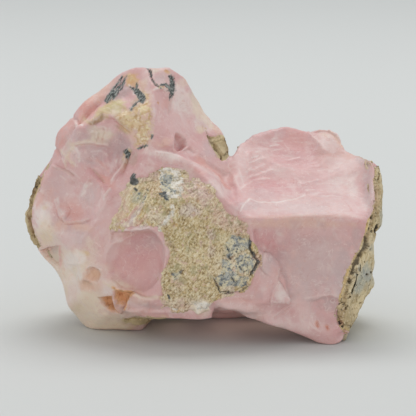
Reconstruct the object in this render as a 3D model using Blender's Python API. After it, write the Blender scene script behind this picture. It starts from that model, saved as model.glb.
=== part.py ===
"""A hand specimen of rough pink opal, one solid stone lying on its own base.

The stone is built the way it broke: angular lumps of opal are joined into one body, and flakes are
struck off them. Every flake leaves a scar, a shallow dish cut by a faceted ball that passes near three
points of its rim. The body is then worn a little, thinned to larger faces and cut flat where it rests.
Origin: middle of the bounding box in plan, on the surface that the stone lies on. +Z up, and the best
face looks to -Y.
"""

import bmesh
import bpy
from mathutils import Vector, noise

MM = 0.001

# Driving dimensions, in millimetres
WEAR_GRAIN = 0.8  # size of the finest feature left on the worn ridges
WEAR_PASSES = 2
SWELL_SIZE = 13.0  # width and height of the long, low swells of the broken surface
SWELL_HEIGHT = 0.65
CHIP_SIZE = 4.5  # width and height of the small irregularities
CHIP_HEIGHT = 0.3
STONE_TRIANGLES = 8600
CUTTER_FINENESS = 4

# The lumps that the stone is made of, each by the corners of its rough outline, in millimetres.

PEAK = [
    # skyline of the peak, left to right
    (-42, 7, 46), (-41.5, 6, 54), (-38.5, 6, 59), (-32.5, 6, 64), (-25.5, 5, 69), (-17.5, 4, 72),
    (-10.5, 8, 71.5), (-6.5, 10, 69), (-3, 9, 63), (3, 12, 54), (5.5, 8, 48.5), (5, 4, 45),
    # left flank down to the foot
    (-45, 7, 43), (-48.5, 7, 31), (-47, 7, 24), (-42.5, 6, 17.5), (-39, 5, 10), (-36, 4, 5),
    (-33, 4, 1), (-30, 2, -1), (-18, 1, -1), (-26, -8, 6), (-32, -7, 11), (-35, -8, 19), (-42, -1, 25),
    (-43, -1, 36),
    # vein ledge and the ridge that runs down the front
    (-35.5, -3, 57.5), (-28, -5, 59.5), (-15.5, -5, 61.5), (-15, -2, 66), (-15.5, -6, 51),
    (-23, -10, 42), (-26.5, -13, 30.5), (-28.5, -12, 20.5), (-25, -13, 14.5), (-14, -16, 31),
    (-14.5, -15, 13), (-2, -2, 46),
    # back
    (-18, 18, 68), (-6, 24, 60), (-26, 25, 60), (-39, 20, 50), (4, 20, 42), (-16, 30, 46),
    (-30, 27, 40), (-44, 20, 34), (-39, 23, 16), (-24, 30, 30), (-28, 24, -1), (-14, 22, -1),
    (-8, 24, 20), (2, 12, 24),
]
BELLY = [
    (-15.5, -5, 51), (-5.5, -4, 50), (0.5, -3, 45.5), (6, -3, 40.5), (-20, -10, 44),
    (-14.5, -12, 47.5), (-8, -12, 48), (-1.5, -12, 46), (2.5, -13, 42.5), (7, -14, 37.5),
    (10, -15, 34.5), (13.5, -15, 29), (15, -15.5, 23), (12, -15.5, 15), (2.5, -17, 12.5),
    (-4, -18, 13), (-14.5, -17, 13), (-25, -13, 14.5), (-28.5, -12, 20.5), (-26.5, -13, 30.5),
    (-23, -10, 42), (-14, -18.5, 32), (-2, -19, 30), (2, -19, 20), (-15, 5, 45), (5, 6, 40),
    (10, 4, 20), (-10, 6, 14), (-22, 4, 16),
]
LEDGE = [
    (-25, -13, 13), (-22.5, -12.5, 8.5), (-12, -14, 8), (-2.5, -15, 7.5), (1.5, -15, 7.5),
    (2, -15.5, 10.5), (2.5, -16, 13), (-14.5, -17.5, 14), (-20, -4, 8), (0, -8, 8), (0, -6, 16),
    (-20, -4, 16),
]
WEDGE = [
    (14, -13, 25), (17, -14, 25), (20, -13.5, 21.5), (20.5, -14, 18.5), (23.5, -15.5, 12.5),
    (15, -17.5, 13.5), (12, -16, 15), (16.5, -14, 9), (9, -13, 10), (2.5, -16, 12), (12, -5, 24),
    (20, -5, 20), (22, -5, 12), (4, -6, 12), (14, -7, 8),
]
BLOCK = [
    # crisp front edge of the top face, then the skyline
    (10.5, -15, 34.5), (24.5, -17.5, 36), (36.5, -17.5, 36.5), (42, -14, 33.5), (5, 4, 43.5),
    (7, 7, 48), (9, 10, 50), (14, 15, 52), (22, 19, 54), (29, 19, 53), (36, 15, 53), (38.5, 9, 48),
    (45, 2, 45.5), (46.5, 0, 43.5), (47, 2, 37), (46, 4, 30), (43, 4, 8), (38, 4, 2),
    # front face and the tip it stands on
    (40, -13.5, 27.5), (38.5, -13, 21.5), (37, -13, 13), (36, -13, 7), (38, -12, 3.5), (33.5, -14, -1),
    (22.5, -13, 3), (15, -12, 5.5), (8.5, -11, 9),
    # back
    (30, 28, 40), (12, 26, 38), (41, 22, 34), (38, 20, -1), (30, 22, -1), (14, 22, 12), (42, 20, 14),
    (6, 16, 20),
]
RIND_TOP = [
    (44, -9, 38.5), (43, -11, 33.5), (43, 2, 46), (46, -0.5, 44), (48, -2, 37.5), (46.5, -3, 30.5),
    (43.5, -4, 28), (46, 14, 40), (46, 14, 30), (40, 6, 42), (40, 6, 28),
]
RIND_SLAB = [
    (45, -4, 23.5), (45, -4, 14), (42, -6, 6.5), (38.5, -8, 5.5), (39, -10, 14), (41.5, -9, 23.5),
    (43, -7, 27), (44, 14, 24), (43, 14, 8), (36, 6, 26), (36, 6, 6),
]
NECK = [
    (-2, -6, 44), (6, -3, 41), (8, 0, 42), (10, -12, 34), (4, 10, 42), (0, -10, 11), (4, -11, 9),
    (10, -10, 9), (11, -8, 36), (9, 9, 42), (2, 8, 8), (12, 6, 7),
]
KEEL = [
    (-20, 22, 16), (-16, 19, 4), (-6, 24, 9), (4, 25, 22), (7, 23, 39), (-4, 22, 39.5), (14, 22, 39.5),
    (16, 24, 13), (24, 18, 6), (15, 15, 2), (0, 13, 1.5), (-16, 8, 5), (-18, -3, 9), (-8, -8, 9),
    (16, -2, 6.5), (6, -9, 9), (14, -6, 8),
]

# Flakes struck off each lump: three points near the rim of the scar, and how deep its dish is.

PEAK_FLAKES = [
    ((-15, -3, 65), (3, 12, 54), (-2, -2, 46), 1.5),
    ((-36, -3, 55), (-16, -6, 57.5), (-24, -10, 42), 2.4),
    ((-44, 3, 44), (-29, -8, 43), (-37, -7, 27), 2.5),
    ((-30, 6, 64), (-36, -2, 57), (-16, -3, 63), 1.2),
    ((-47, 3, 30), (-37, -6, 25), (-40, 3, 13), 1.5),
    ((-6, 24, 60), (-26, 25, 61), (-16, 30, 45), 2.0),
    ((-39, 20, 52), (-30, 27, 40), (-45, 19, 33), 1.8),
    ((-30, 28, 40), (-24, 30, 29), (-40, 22, 15), 2.2),
    ((-23, 30, 30), (-8, 24, 19), (-27, 25, 0), 2.6),
    ((-10, 28, 46), (3, 20, 42), (-6, 25, 20), 2.5),
]
BELLY_FLAKES = [
    ((-28, -13, 31), (-13, -18.5, 31), (-17, -18, 12), 4.6),
    ((-22, -9, 46), (-2, -6, 49), (4, -13, 43), 1.0),
    ((-12, -18, 33), (4, -14, 44), (8, -15, 30), 1.2),
]
BLOCK_FLAKES = [
    ((10.5, -15, 34.5), (43, -13, 34), (22, 19, 54.5), 2.8),
    ((12, -15, 34), (40, -14, 30), (30, -13.5, 5), 3.0),
    ((28, 25, 44), (10, 22, 46), (20, 20, 55), 1.4),
    ((42, 20, 33), (31, 28, 40), (39, 20, 1), 2.0),
    ((30, 28, 38), (13, 23, 13), (30, 23, 1), 3.0),
    ((16, -11, 4), (33, 14, -1), (14, 20, 11), 3.0),
]

LUMPS = [
    ("peak", PEAK, PEAK_FLAKES),
    ("belly", BELLY, BELLY_FLAKES),
    ("ledge", LEDGE, []),
    ("wedge", WEDGE, []),
    ("block", BLOCK, BLOCK_FLAKES),
    ("rind_top", RIND_TOP, []),
    ("rind_slab", RIND_SLAB, []),
    ("neck", NECK, []),
    ("keel", KEEL, []),
]


def linked(name, mesh):
    made = bpy.data.objects.new(name, mesh)
    bpy.context.scene.collection.objects.link(made)
    return made


def lump(name, corners):
    """A closed convex lump of opal with these corners."""
    shape = bmesh.new()
    for corner in corners:
        shape.verts.new(Vector(corner) * MM)
    hull = bmesh.ops.convex_hull(shape, input=shape.verts)
    bmesh.ops.delete(shape, geom=list(set(hull["geom_interior"] + hull["geom_unused"])), context="VERTS")
    bmesh.ops.recalc_face_normals(shape, faces=shape.faces)
    mesh = bpy.data.meshes.new(name)
    shape.to_mesh(mesh)
    shape.free()
    return linked(name, mesh)


def apply(solid, modifier):
    with bpy.context.temp_override(object=solid, active_object=solid):
        bpy.ops.object.modifier_apply(modifier=modifier.name)


def combine(solid, other, operation):
    """Joins another solid to this one, or cuts it away, and removes it."""
    step = solid.modifiers.new(other.name, "BOOLEAN")
    step.operation = operation
    step.object = other
    apply(solid, step)
    bpy.data.objects.remove(other)


def strike(solid, heart, a, b, c, dish):
    """Strikes a flake off with a ball through the rim points, sunk `dish` mm below their plane."""
    a, b, c = Vector(a), Vector(b), Vector(c)
    ab, ac = b - a, c - a
    across = ab.cross(ac)
    centre = a + (ac.length_squared * across.cross(ab) + ab.length_squared * ac.cross(across)) / (
        2 * across.length_squared
    )
    outward = across.normalized()
    if outward.dot(centre - heart) < 0:
        outward.negate()
    reach = (a - centre).length
    radius = (reach**2 + dish**2) / (2 * dish)
    shape = bmesh.new()
    bmesh.ops.create_icosphere(shape, subdivisions=CUTTER_FINENESS, radius=radius * MM)
    bmesh.ops.translate(shape, verts=shape.verts, vec=(centre + outward * (radius - dish)) * MM)
    mesh = bpy.data.meshes.new("flake")
    shape.to_mesh(mesh)
    shape.free()
    combine(solid, linked("flake", mesh), "DIFFERENCE")


def wear(solid):
    """Rounds the ridges by the wear grain and gives the broken surface its swells and small chips."""
    grain = solid.modifiers.new("grain", "REMESH")
    grain.mode = "VOXEL"
    grain.voxel_size = WEAR_GRAIN * MM
    apply(solid, grain)
    smooth = solid.modifiers.new("smooth", "SMOOTH")
    smooth.factor = 0.5
    smooth.iterations = WEAR_PASSES
    apply(solid, smooth)
    moves = []
    for vertex in solid.data.vertices:
        place = vertex.co / MM
        swell = noise.noise(place / SWELL_SIZE) * SWELL_HEIGHT
        chip = noise.noise(place / CHIP_SIZE) * CHIP_HEIGHT
        moves.append(vertex.normal * (swell + chip) * MM)
    for vertex, move in zip(solid.data.vertices, moves):
        vertex.co += move


def settle(solid):
    """Cuts the flats that the stone rests on, then moves the origin to the middle of its base."""
    ground = bmesh.new()
    bmesh.ops.create_cube(ground, size=0.4)
    bmesh.ops.translate(ground, verts=ground.verts, vec=(0, 0, -0.2))
    mesh = bpy.data.meshes.new("ground")
    ground.to_mesh(mesh)
    ground.free()
    combine(solid, linked("ground", mesh), "DIFFERENCE")
    low = [min(v.co[axis] for v in solid.data.vertices) for axis in range(3)]
    high = [max(v.co[axis] for v in solid.data.vertices) for axis in range(3)]
    base = Vector(((low[0] + high[0]) / 2, (low[1] + high[1]) / 2, low[2]))
    for vertex in solid.data.vertices:
        vertex.co -= base


def thin(solid):
    """Merges small faces until the stone has its number of triangles."""
    triangles = sum(len(face.vertices) - 2 for face in solid.data.polygons)
    fewer = solid.modifiers.new("fewer", "DECIMATE")
    fewer.ratio = STONE_TRIANGLES / triangles
    apply(solid, fewer)


def opal():
    material = bpy.data.materials.new("pink opal")
    material.use_nodes = True
    surface = material.node_tree.nodes["Principled BSDF"]
    surface.inputs["Base Color"].default_value = (0.66, 0.40, 0.37, 1.0)
    surface.inputs["Roughness"].default_value = 0.42
    surface.inputs["Metallic"].default_value = 0.0
    return material


for old in list(bpy.data.objects):
    bpy.data.objects.remove(old)

stone = None
for name, corners, flakes in LUMPS:
    piece = lump(name, corners)
    heart = sum((Vector(corner) for corner in corners), Vector()) / len(corners)
    for a, b, c, dish in flakes:
        strike(piece, heart, a, b, c, dish)
    if stone is None:
        stone = piece
    else:
        combine(stone, piece, "UNION")
wear(stone)
thin(stone)
settle(stone)
stone.name = "opal"
stone.data.name = "opal"
stone.data.materials.clear()
stone.data.materials.append(opal())
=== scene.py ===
import itertools
import math

import bmesh
import bpy
import numpy as np
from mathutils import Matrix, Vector, kdtree
from mathutils.bvhtree import BVHTree


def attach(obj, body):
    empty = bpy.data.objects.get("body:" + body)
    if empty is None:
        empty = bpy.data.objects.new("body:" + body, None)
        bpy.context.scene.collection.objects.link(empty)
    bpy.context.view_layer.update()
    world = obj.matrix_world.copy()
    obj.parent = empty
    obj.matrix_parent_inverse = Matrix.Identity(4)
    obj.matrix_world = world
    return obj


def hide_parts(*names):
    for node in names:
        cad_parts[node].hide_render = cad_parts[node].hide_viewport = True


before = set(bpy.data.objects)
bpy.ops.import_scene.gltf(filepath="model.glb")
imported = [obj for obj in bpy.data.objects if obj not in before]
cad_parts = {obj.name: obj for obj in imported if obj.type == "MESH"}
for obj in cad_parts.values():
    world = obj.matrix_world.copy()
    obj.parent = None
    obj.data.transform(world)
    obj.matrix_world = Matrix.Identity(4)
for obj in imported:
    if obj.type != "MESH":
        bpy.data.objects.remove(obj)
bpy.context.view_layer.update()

# ---------------------------------------------------------------------------------------------------------
# The viewing place. The stone's best face is looked at from the front and a little above. Marks on that face
# are placed by the view's own units: 416 across and 416 down, counted from the top left.
# ---------------------------------------------------------------------------------------------------------
VIEW_UNITS = 416
UNIT = 0.27  # mm of stone to one view unit, at the target
DISTANCE = 500.0  # mm
LOOK_DOWN = math.radians(12)
TARGET = np.array([0.7, -5.4, 34.3])  # mm

eye_up = np.array([0, math.sin(LOOK_DOWN), math.cos(LOOK_DOWN)])
eye_back = np.array([0, -math.cos(LOOK_DOWN), math.sin(LOOK_DOWN)])
eye_place = TARGET + eye_back * DISTANCE

lens = bpy.data.cameras.new("view")
lens.sensor_width = 36
lens.lens = lens.sensor_width * DISTANCE / (VIEW_UNITS * UNIT)
lens.clip_start = 0.01
eye = bpy.data.objects.new("view", lens)
bpy.context.scene.collection.objects.link(eye)
eye.location = eye_place / 1000
eye.rotation_euler = (math.radians(90) - LOOK_DOWN, 0, 0)
bpy.context.scene.camera = eye


def view_place(points):
    """Where points in mm show in the view, in view units."""
    arm = points - TARGET
    size = DISTANCE / (DISTANCE - arm @ eye_back) / UNIT
    across = VIEW_UNITS / 2 + arm[:, 0] * size
    down = VIEW_UNITS / 2 - arm @ eye_up * size
    return np.stack([across, down], axis=1)


# ---------------------------------------------------------------------------------------------------------
# The stone's body: massive pink common opal, broken out of its vein by hand. Its breaks are smooth and shell
# shaped, with sharp ridges between them that have worn only a little.
# ---------------------------------------------------------------------------------------------------------
SKIN_GRAIN = 0.00069  # m, the spacing of the body's surface points before the face is made finer
KEEP_EDGE = 0.18  # mm, ridges that smoothing would drop by more than this stay sharp

for thing in list(bpy.context.selected_objects):
    thing.select_set(False)

rough = bmesh.new()
rough.from_mesh(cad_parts["opal"].data)
bmesh.ops.remove_doubles(rough, verts=rough.verts, dist=1e-6)
body = bpy.data.meshes.new("pink_opal")
rough.to_mesh(body)
rough.free()
stone = bpy.data.objects.new("pink_opal", body)
bpy.context.scene.collection.objects.link(stone)
bpy.context.view_layer.objects.active = stone
stone.select_set(True)
remesh = stone.modifiers.new("remesh", "REMESH")
remesh.mode = "VOXEL"
remesh.voxel_size = SKIN_GRAIN
bpy.ops.object.modifier_apply(modifier="remesh")


def points_of(mesh):
    flat = np.zeros(len(mesh.vertices) * 3)
    mesh.vertices.foreach_get("co", flat)
    return flat.reshape(-1, 3) * 1000


def put_points(mesh, points):
    mesh.vertices.foreach_set("co", (points / 1000).astype(np.float32).ravel())
    mesh.update()


def normals_of(mesh):
    flat = np.zeros(len(mesh.vertices) * 3)
    mesh.vertex_normals.foreach_get("vector", flat)
    return flat.reshape(-1, 3)


def edges_of(mesh):
    flat = np.zeros(len(mesh.edges) * 2, int)
    mesh.edges.foreach_get("vertices", flat)
    return flat.reshape(-1, 2)


def relax(values, edges, times):
    """Averages each point's value, or its set of values, with its neighbours'."""
    shape = values.shape
    values = values.reshape(len(values), -1)
    count = np.bincount(edges.ravel(), minlength=len(values)).astype(float)
    for _ in range(times):
        total = np.zeros_like(values)
        for axis in range(values.shape[1]):
            total[:, axis] += np.bincount(edges[:, 0], values[edges[:, 1], axis], len(values))
            total[:, axis] += np.bincount(edges[:, 1], values[edges[:, 0], axis], len(values))
        values = 0.5 * values + 0.5 * total / count[:, None]
    return values.reshape(shape)


def smooth_normals(mesh, edges, times):
    normals = relax(normals_of(mesh), edges, times)
    return normals / np.linalg.norm(normals, axis=1, keepdims=True)


def fade(value, low, high):
    share = np.clip((value - low) / (high - low), 0, 1)
    return share * share * (3 - 2 * share)


place = points_of(body)
joins = edges_of(body)
smooth = relax(place, joins, 9)
drop = np.linalg.norm(smooth - place, axis=1, keepdims=True)
place = place + (smooth - place) / (1 + (drop / KEEP_EDGE) ** 4)
place = relax(place, joins, 1)

# The outline is drawn out to its true run: where in the view, and how far across and down it moves there.
PULLS = [
    (92, 93, 3, 2), (78, 103, 3, 3), (67, 113, 6, 3), (61, 122, 5, 2), (56, 132, 6, 0), (50, 144, 4, 0),
    (48, 153, 9, 0), (45, 162, 5, 0), (42, 170, -1, 0), (39, 180, -5, -1), (35, 196, -1, 0), (31, 212, -6, 0),
    (32, 222, -9, 0), (34, 231, -8, 1), (40, 243, -7, 1), (47, 256, -5, 0), (54, 270, 3, 0), (59, 280, 4, 0),
    (66, 294, 0, 0), (74, 306, -6, 0), (81, 315, -7, 0), (90, 324, -8, 0), (104, 86, 0, 0), (117, 79, -1, -4),
    (133, 72, -1, -6), (148, 68, 0, -1), (158, 68, 0, 2), (172, 71, 4, -3), (183, 81, 3, 1), (196, 102, 3, 2),
    (211, 123, 1, 1), (221, 136, 3, -4), (224, 149, 5, 0), (222, 160, 4, 1), (236, 152, 0, -5),
    (243, 145, 0, 1), (261, 135, 0, -3), (286, 126, 0, 0), (308, 129, 0, 4), (326, 133, 3, -6),
    (337, 138, 3, -5), (346, 150, -3, 5), (354, 160, 4, -6), (365, 169, 4, -11), (374, 174, 5, -8),
    (380, 184, 0, -3), (381, 198, 1, 0), (378, 213, -2, 0), (374, 230, 4, 0), (372, 246, 2, 0),
    (371, 262, 2, 0), (369, 288, -1, 0), (364, 303, -5, 0), (352, 322, 2, 0), (346, 332, 4, 0),
    (208, 312, 4, 3), (300, 180, 0, 0), (280, 221, 0, -3), (300, 221, 0, -5), (325, 221, 0, -6),
    (348, 221, 0, -6), (362, 223, 0, -3), (255, 222, 0, -1), (300, 270, 0, 0), (130, 150, 0, 0),
    (130, 250, 0, 0), (90, 200, 0, 0), (180, 200, 0, 0), (226, 306, 0, 6), (242, 309, 0, 6), (262, 318, 0, 3),
    (150, 317, 0, 2), (172, 317, 0, 2),
]  # fmt: skip
PULL_REACH = 13.0  # view units
STAY_PUT = 0.15  # how much the ground's own place counts against the pulls


def drawn(points, pulls, reach):
    """Moves points across and down the view, as the pulls near them say."""
    spots = view_place(points)
    total = np.full(len(points), STAY_PUT)
    move = np.zeros((len(points), 2))
    for across, down, move_across, move_down in pulls:
        weight = np.exp(-((spots[:, 0] - across) ** 2 + (spots[:, 1] - down) ** 2) / reach**2)
        total += weight
        move += weight[:, None] * np.array([move_across, move_down])
    move = move / total[:, None] * UNIT
    points = points.copy()
    points[:, 0] += move[:, 0]
    return points - move[:, 1:2] * eye_up * fade(points[:, 2:3], 1, 8)


place = drawn(place, PULLS, PULL_REACH)

# Where the front is filled out towards the eye: where in the view, how wide, and by how many mm.
FILLS = [
    (228, 310, 9, 2.2), (248, 316, 10, 3.4), (266, 320, 10, 3.8), (272, 327, 9, 2.6), (284, 320, 9, 2.2),
    (290, 330, 9, 1.4),
]  # fmt: skip
at = view_place(place)
for across, down, reach, fill in FILLS:
    weight = np.exp(-((at[:, 0] - across) ** 2 + (at[:, 1] - down) ** 2) / reach**2) * fade(-place[:, 1], 6, 14)
    place += weight[:, None] * fill * eye_back

# The low keel behind the arch comes right down to the table, so that no light slips through under it.
KEEL_DROP = 1.7  # mm
keel_reach = np.hypot((place[:, 0] - 4) / 13, (place[:, 1] - 8) / 7)
keel = fade(1.3 - keel_reach, 0, 0.5) * fade(4 - place[:, 2], 0, 2.5)
place[:, 2] = np.maximum(place[:, 2] - KEEL_DROP * keel, 0)
put_points(body, place)


EDGE_REACH = 2.5  # mm, how far over the stone's edge a point still counts as seen


def sight(points, mesh):
    """1 for what the view sees, or what has just gone over the stone's edge, and 0 for the rest."""
    tree = BVHTree.FromPolygons([tuple(p) for p in points], [tuple(f.vertices) for f in mesh.polygons])
    start = Vector(eye_place)
    seen = np.zeros(len(points))
    for index, point in enumerate(points):
        arm = Vector(point) - start
        reach = tree.ray_cast(start, arm)[3]
        seen[index] = 1.0 if reach is None or reach > arm.length - EDGE_REACH else 0.0
    return seen


# The best face gets four times the points.
BARELY_SEEN = 0.02
seen = relax(sight(place, body), joins, 2)
fine = bmesh.new()
fine.from_mesh(body)
fine.verts.ensure_lookup_table()
near = [f for f in fine.faces if all(seen[v.index] > BARELY_SEEN for v in f.verts)]
bmesh.ops.subdivide_edges(fine, edges=list({e for f in near for e in f.edges}), cuts=1, use_grid_fill=True)
bmesh.ops.triangulate(fine, faces=[f for f in fine.faces if len(f.verts) > 4])
fine.to_mesh(body)
fine.free()
place = points_of(body)
joins = edges_of(body)
place = relax(place, joins, 2)
put_points(body, place)
at = view_place(place)
seen = relax(sight(place, body), joins, 6)
outward = smooth_normals(body, joins, 4)

# ---------------------------------------------------------------------------------------------------------
# The relief of the breaks: dishes, steps, ribs and pits, all in the skin's own points. The opal broke like
# glass along its old cracks, and the host rock and the rind are let into it where they still hold.
# ---------------------------------------------------------------------------------------------------------
GROUND_CLEAR = 1.2  # mm above the table below which the resting faces are left alone


def outline_depth(outline):
    """How far inside a closed outline each point lies, in view units; outside is negative."""
    corners = np.array(outline, float)
    far = np.full(len(at), 1e9)
    inside = np.zeros(len(at), bool)
    for (ax, ay), (bx, by) in zip(corners, np.roll(corners, -1, axis=0)):
        run = np.array([bx - ax, by - ay])
        arm = at - (ax, ay)
        share = np.clip(arm @ run / (run @ run + 1e-9), 0, 1)
        far = np.minimum(far, np.linalg.norm(arm - share[:, None] * run, axis=1))
        if ay != by:
            crossing = (ay > at[:, 1]) != (by > at[:, 1])
            inside ^= crossing & (at[:, 0] < (bx - ax) * (at[:, 1] - ay) / (by - ay) + ax)
    return np.where(inside, far, -far)


def along_line(line):
    """For each point: how far it is from a line, how far to the line's right hand, and where along, 0 to 1."""
    points = np.array(line, float)
    runs = np.diff(points, axis=0)
    lengths = np.linalg.norm(runs, axis=1)
    starts = np.concatenate([[0], np.cumsum(lengths)])
    far = np.full(len(at), 1e9)
    right = np.zeros(len(at))
    along = np.zeros(len(at))
    for (ax, ay), run, length, start in zip(points, runs, lengths, starts):
        arm = at - (ax, ay)
        share = np.clip(arm @ run / length**2, 0, 1)
        gap = np.linalg.norm(arm - share[:, None] * run, axis=1)
        nearer = gap < far
        far = np.where(nearer, gap, far)
        right = np.where(nearer, gap * np.sign(arm[:, 1] * run[0] - arm[:, 0] * run[1]), right)
        along = np.where(nearer, (start + share * length) / starts[-1], along)
    return far, right, along


def round_reach(middle, radii, turn=0):
    """Distance from a middle, with 1 at the rim of an oval of these radii, turned clockwise by degrees."""
    arm = at - middle
    swing = math.radians(turn)
    long_way = arm[:, 0] * math.cos(swing) + arm[:, 1] * math.sin(swing)
    short_way = arm[:, 1] * math.cos(swing) - arm[:, 0] * math.sin(swing)
    return np.hypot(long_way / radii[0], short_way / radii[1])


def bowl(middle, radii, depth, turn=0):
    """A soft hollow; a negative depth makes a swelling."""
    return -depth * fade(1 - round_reach(middle, radii, turn), 0, 1)


def scar(middle, radii, depth, turn=0):
    """A shell-shaped dish with a crisp rim."""
    return -depth * np.clip(1 - round_reach(middle, radii, turn) ** 2, 0, 1)


def step(line, height, reach, ends=0.15):
    """Ground on the line's right hand stands higher by height and falls back over reach."""
    far, right, along = along_line(line)
    taper = fade(along, 0, ends) * fade(1 - along, 0, ends)
    return height * taper * fade(right, -0.9, 0.9) * (1 - fade(right, 0, reach)) * (far < reach)


def rib(line, height, width, ends=0.2):
    """A raised line; a negative height makes a groove."""
    far, _, along = along_line(line)
    return height * np.exp(-((far / width) ** 2)) * fade(along, 0, ends) * fade(1 - along, 0, ends)


def dish(outline, depth, reach):
    """A shell-shaped dish with a crisp rim along an outline, level again this many view units in."""
    share = np.clip(outline_depth(outline) / reach, 0, 1)
    return -depth * (1 - (1 - share) ** 2)


def chip(outline, sink, tilt_right, tilt_down):
    """A flat break inside an outline, sunk, and tilted to stand higher towards its right or its lower side."""
    corners = np.array(outline, float)
    arm = (at - corners.mean(0)) / (np.ptp(corners, axis=0) / 2)
    plane = -sink + tilt_right * arm[:, 0] + tilt_down * arm[:, 1]
    return plane * fade(outline_depth(outline), -0.7, 0.9)


def grain(points, size, seed):
    """Smooth noise, about -1 to 1, in lumps of the given size in mm."""
    cell = np.asarray(points) / size + seed * 17.31
    base = np.floor(cell).astype(np.int64)
    part = cell - base
    part = part * part * part * (part * (part * 6 - 15) + 10)
    total = np.zeros(len(cell))
    for corner in itertools.product((0, 1), repeat=3):
        key = base + corner
        mixed = (key[:, 0] * 73856093) ^ (key[:, 1] * 19349663) ^ (key[:, 2] * 83492791) ^ (seed * 7919)
        mixed = ((mixed ^ (mixed >> 13)) * 1274126177) & 0x7FFFFFFF
        mixed = mixed ^ (mixed >> 15)
        share = np.prod(np.where(corner, part, 1 - part), axis=1)
        total += ((mixed & 0xFFFF) / 32767.5 - 1) * share
    return total


def scatter(points, spacing, seed, area):
    """Loose seeds about a spacing apart, taken from the points of a surface of this area in square mm."""
    chance = np.random.default_rng(seed)
    count = int(area / spacing**2)
    pick = points[chance.choice(len(points), min(count, len(points)), replace=False)]
    return pick + chance.normal(0, spacing * 0.25, pick.shape)


def tree_of(points):
    tree = kdtree.KDTree(len(points))
    for index, point in enumerate(points):
        tree.insert(point, index)
    tree.balance()
    return tree


def nearest(points, seeds):
    """Distance from each point to the nearest and the second nearest seed, and the nearest seed's number."""
    tree = tree_of(seeds)
    first = np.zeros(len(points))
    second = np.zeros(len(points))
    number = np.zeros(len(points), int)
    for index, point in enumerate(points):
        (_, number[index], first[index]), (_, _, second[index]) = tree.find_n(point, 2)
    return first, second, number


def ball(points, middle, radii):
    """1 at the middle of an oval ball placed in mm, 0 at its rim, negative outside."""
    return 1 - np.linalg.norm((points - middle) / radii, axis=1)


def three_grains(points, size, seeds):
    """A wander in the three directions, made of smooth noise."""
    return np.stack([grain(points, size, seed) for seed in seeds], axis=1)


def mark_place(points):
    """The view place that outlines and strokes are measured from, wavering so that none runs dead straight."""
    slow = np.stack([grain(points, 3.4, seed) for seed in (81, 82)], axis=1)
    quick = np.stack([grain(points, 1.2, seed) for seed in (83, 84)], axis=1)
    return view_place(points) + 0.9 * slow + 0.45 * quick


at = mark_place(place)

# Where the host rock and the weathered rind lie. Both are pieces of their own, let into the opal.
ROCK_OUTLINE = [
    (138, 174), (131, 178), (125, 184), (121, 194), (118, 206), (112, 218), (109, 229), (116, 231), (127, 229),
    (135, 230), (143, 228), (150, 227), (157, 229), (162, 233), (164, 241), (167, 250), (168, 258), (163, 266),
    (159, 278), (160, 290), (157, 300), (162, 308), (170, 312), (185, 313), (198, 312), (211, 312), (213, 304),
    (220, 299), (236, 296), (247, 292), (254, 285), (259, 274), (264, 264), (262, 254), (257, 246), (253, 238),
    (252, 231), (250, 224), (244, 217), (236, 214), (229, 209), (225, 203), (221, 195), (215, 187), (207, 179),
    (199, 173), (190, 168), (180, 166), (168, 165), (158, 167), (151, 171), (146, 175),
]  # fmt: skip
RIND_RIGHT = [
    (350, 153), (357, 155), (364, 158), (370, 163), (373, 167), (372, 179), (373, 189), (375, 200), (374, 208),
    (367, 223), (362, 238), (359, 249), (353, 258), (348, 269), (344, 280), (341, 290), (338, 299), (337, 307),
    (335, 314), (336, 324), (341, 330), (350, 333), (400, 336), (400, 150), (360, 148),
]  # fmt: skip
RIND_TIP = [
    (202, 125), (205, 128), (209, 134), (215, 135), (221, 133), (226, 135), (238, 140), (238, 149), (232, 155),
    (227, 160), (223, 162), (217, 156), (211.5, 148), (207, 139),
]  # fmt: skip
RIND_LEFT = [
    (54, 158), (48.5, 166), (43, 176), (39, 188), (35.5, 200), (32.5, 212), (32, 224), (35, 235), (41, 246),
    (36, 252), (24, 236), (20, 214), (26, 190), (38, 164), (48, 154),
]  # fmt: skip
RIND_LEDGE = [(123, 318), (132, 317), (168, 317), (164, 322), (140, 325), (125, 324)]
RIND_OUTLINES = (RIND_RIGHT, RIND_TIP, RIND_LEFT, RIND_LEDGE)


def rock_depth_of(points, in_view_share):
    """How far inside the rock's outlines each point lies, in mm."""
    front_depth = outline_depth(ROCK_OUTLINE) * UNIT
    back_depth = np.maximum.reduce([
        10 * ball(points, (-12, 14, 36), (15, 16, 14)),
        9 * ball(points, (2, 20, 24), (12, 12, 8)),
        8 * ball(points, (18, 21, 14), (13, 12, 8)),
        8 * ball(points, (-15, 3, 8), (11, 11, 7)),
    ]) + 2.6 * grain(points, 7, 91) + 1.5 * grain(points, 3, 92)  # fmt: skip
    return np.where(in_view_share > 0.5, front_depth, back_depth)


def rind_depth_of(points, normals, in_view_share):
    """How far inside the rind each point lies, in mm."""
    wander = 1.6 * grain(points, 8, 61) + 0.8 * grain(points, 3, 62)
    reach = 39 - 12 * fade(50 - points[:, 2], 0, 25)
    right_side = np.minimum(14 * (normals[:, 0] - 0.12), 0.8 * (points[:, 0] - reach)) + wander
    left_side = np.minimum(
        12 * (-normals[:, 0] - 0.35 + 0.5 * normals[:, 1]),
        np.minimum(0.8 * (-26 - points[:, 0]), 9 * ball(points, (-42, 8, 32), (18, 22, 20))),
    ) + wander
    behind_tip = 8 * ball(points, (6, 9, 50), (6, 8, 5)) + 0.3 * wander
    back = np.maximum.reduce([right_side, left_side, behind_tip]) - 6 * fade(normals @ eye_back, 0.1, 0.4)
    back -= 9 * fade(normals[:, 2], 0.25, 0.6)
    front = np.maximum.reduce([outline_depth(line) for line in RIND_OUTLINES]) * UNIT
    return np.where(in_view_share > 0.5, front, back)


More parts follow.
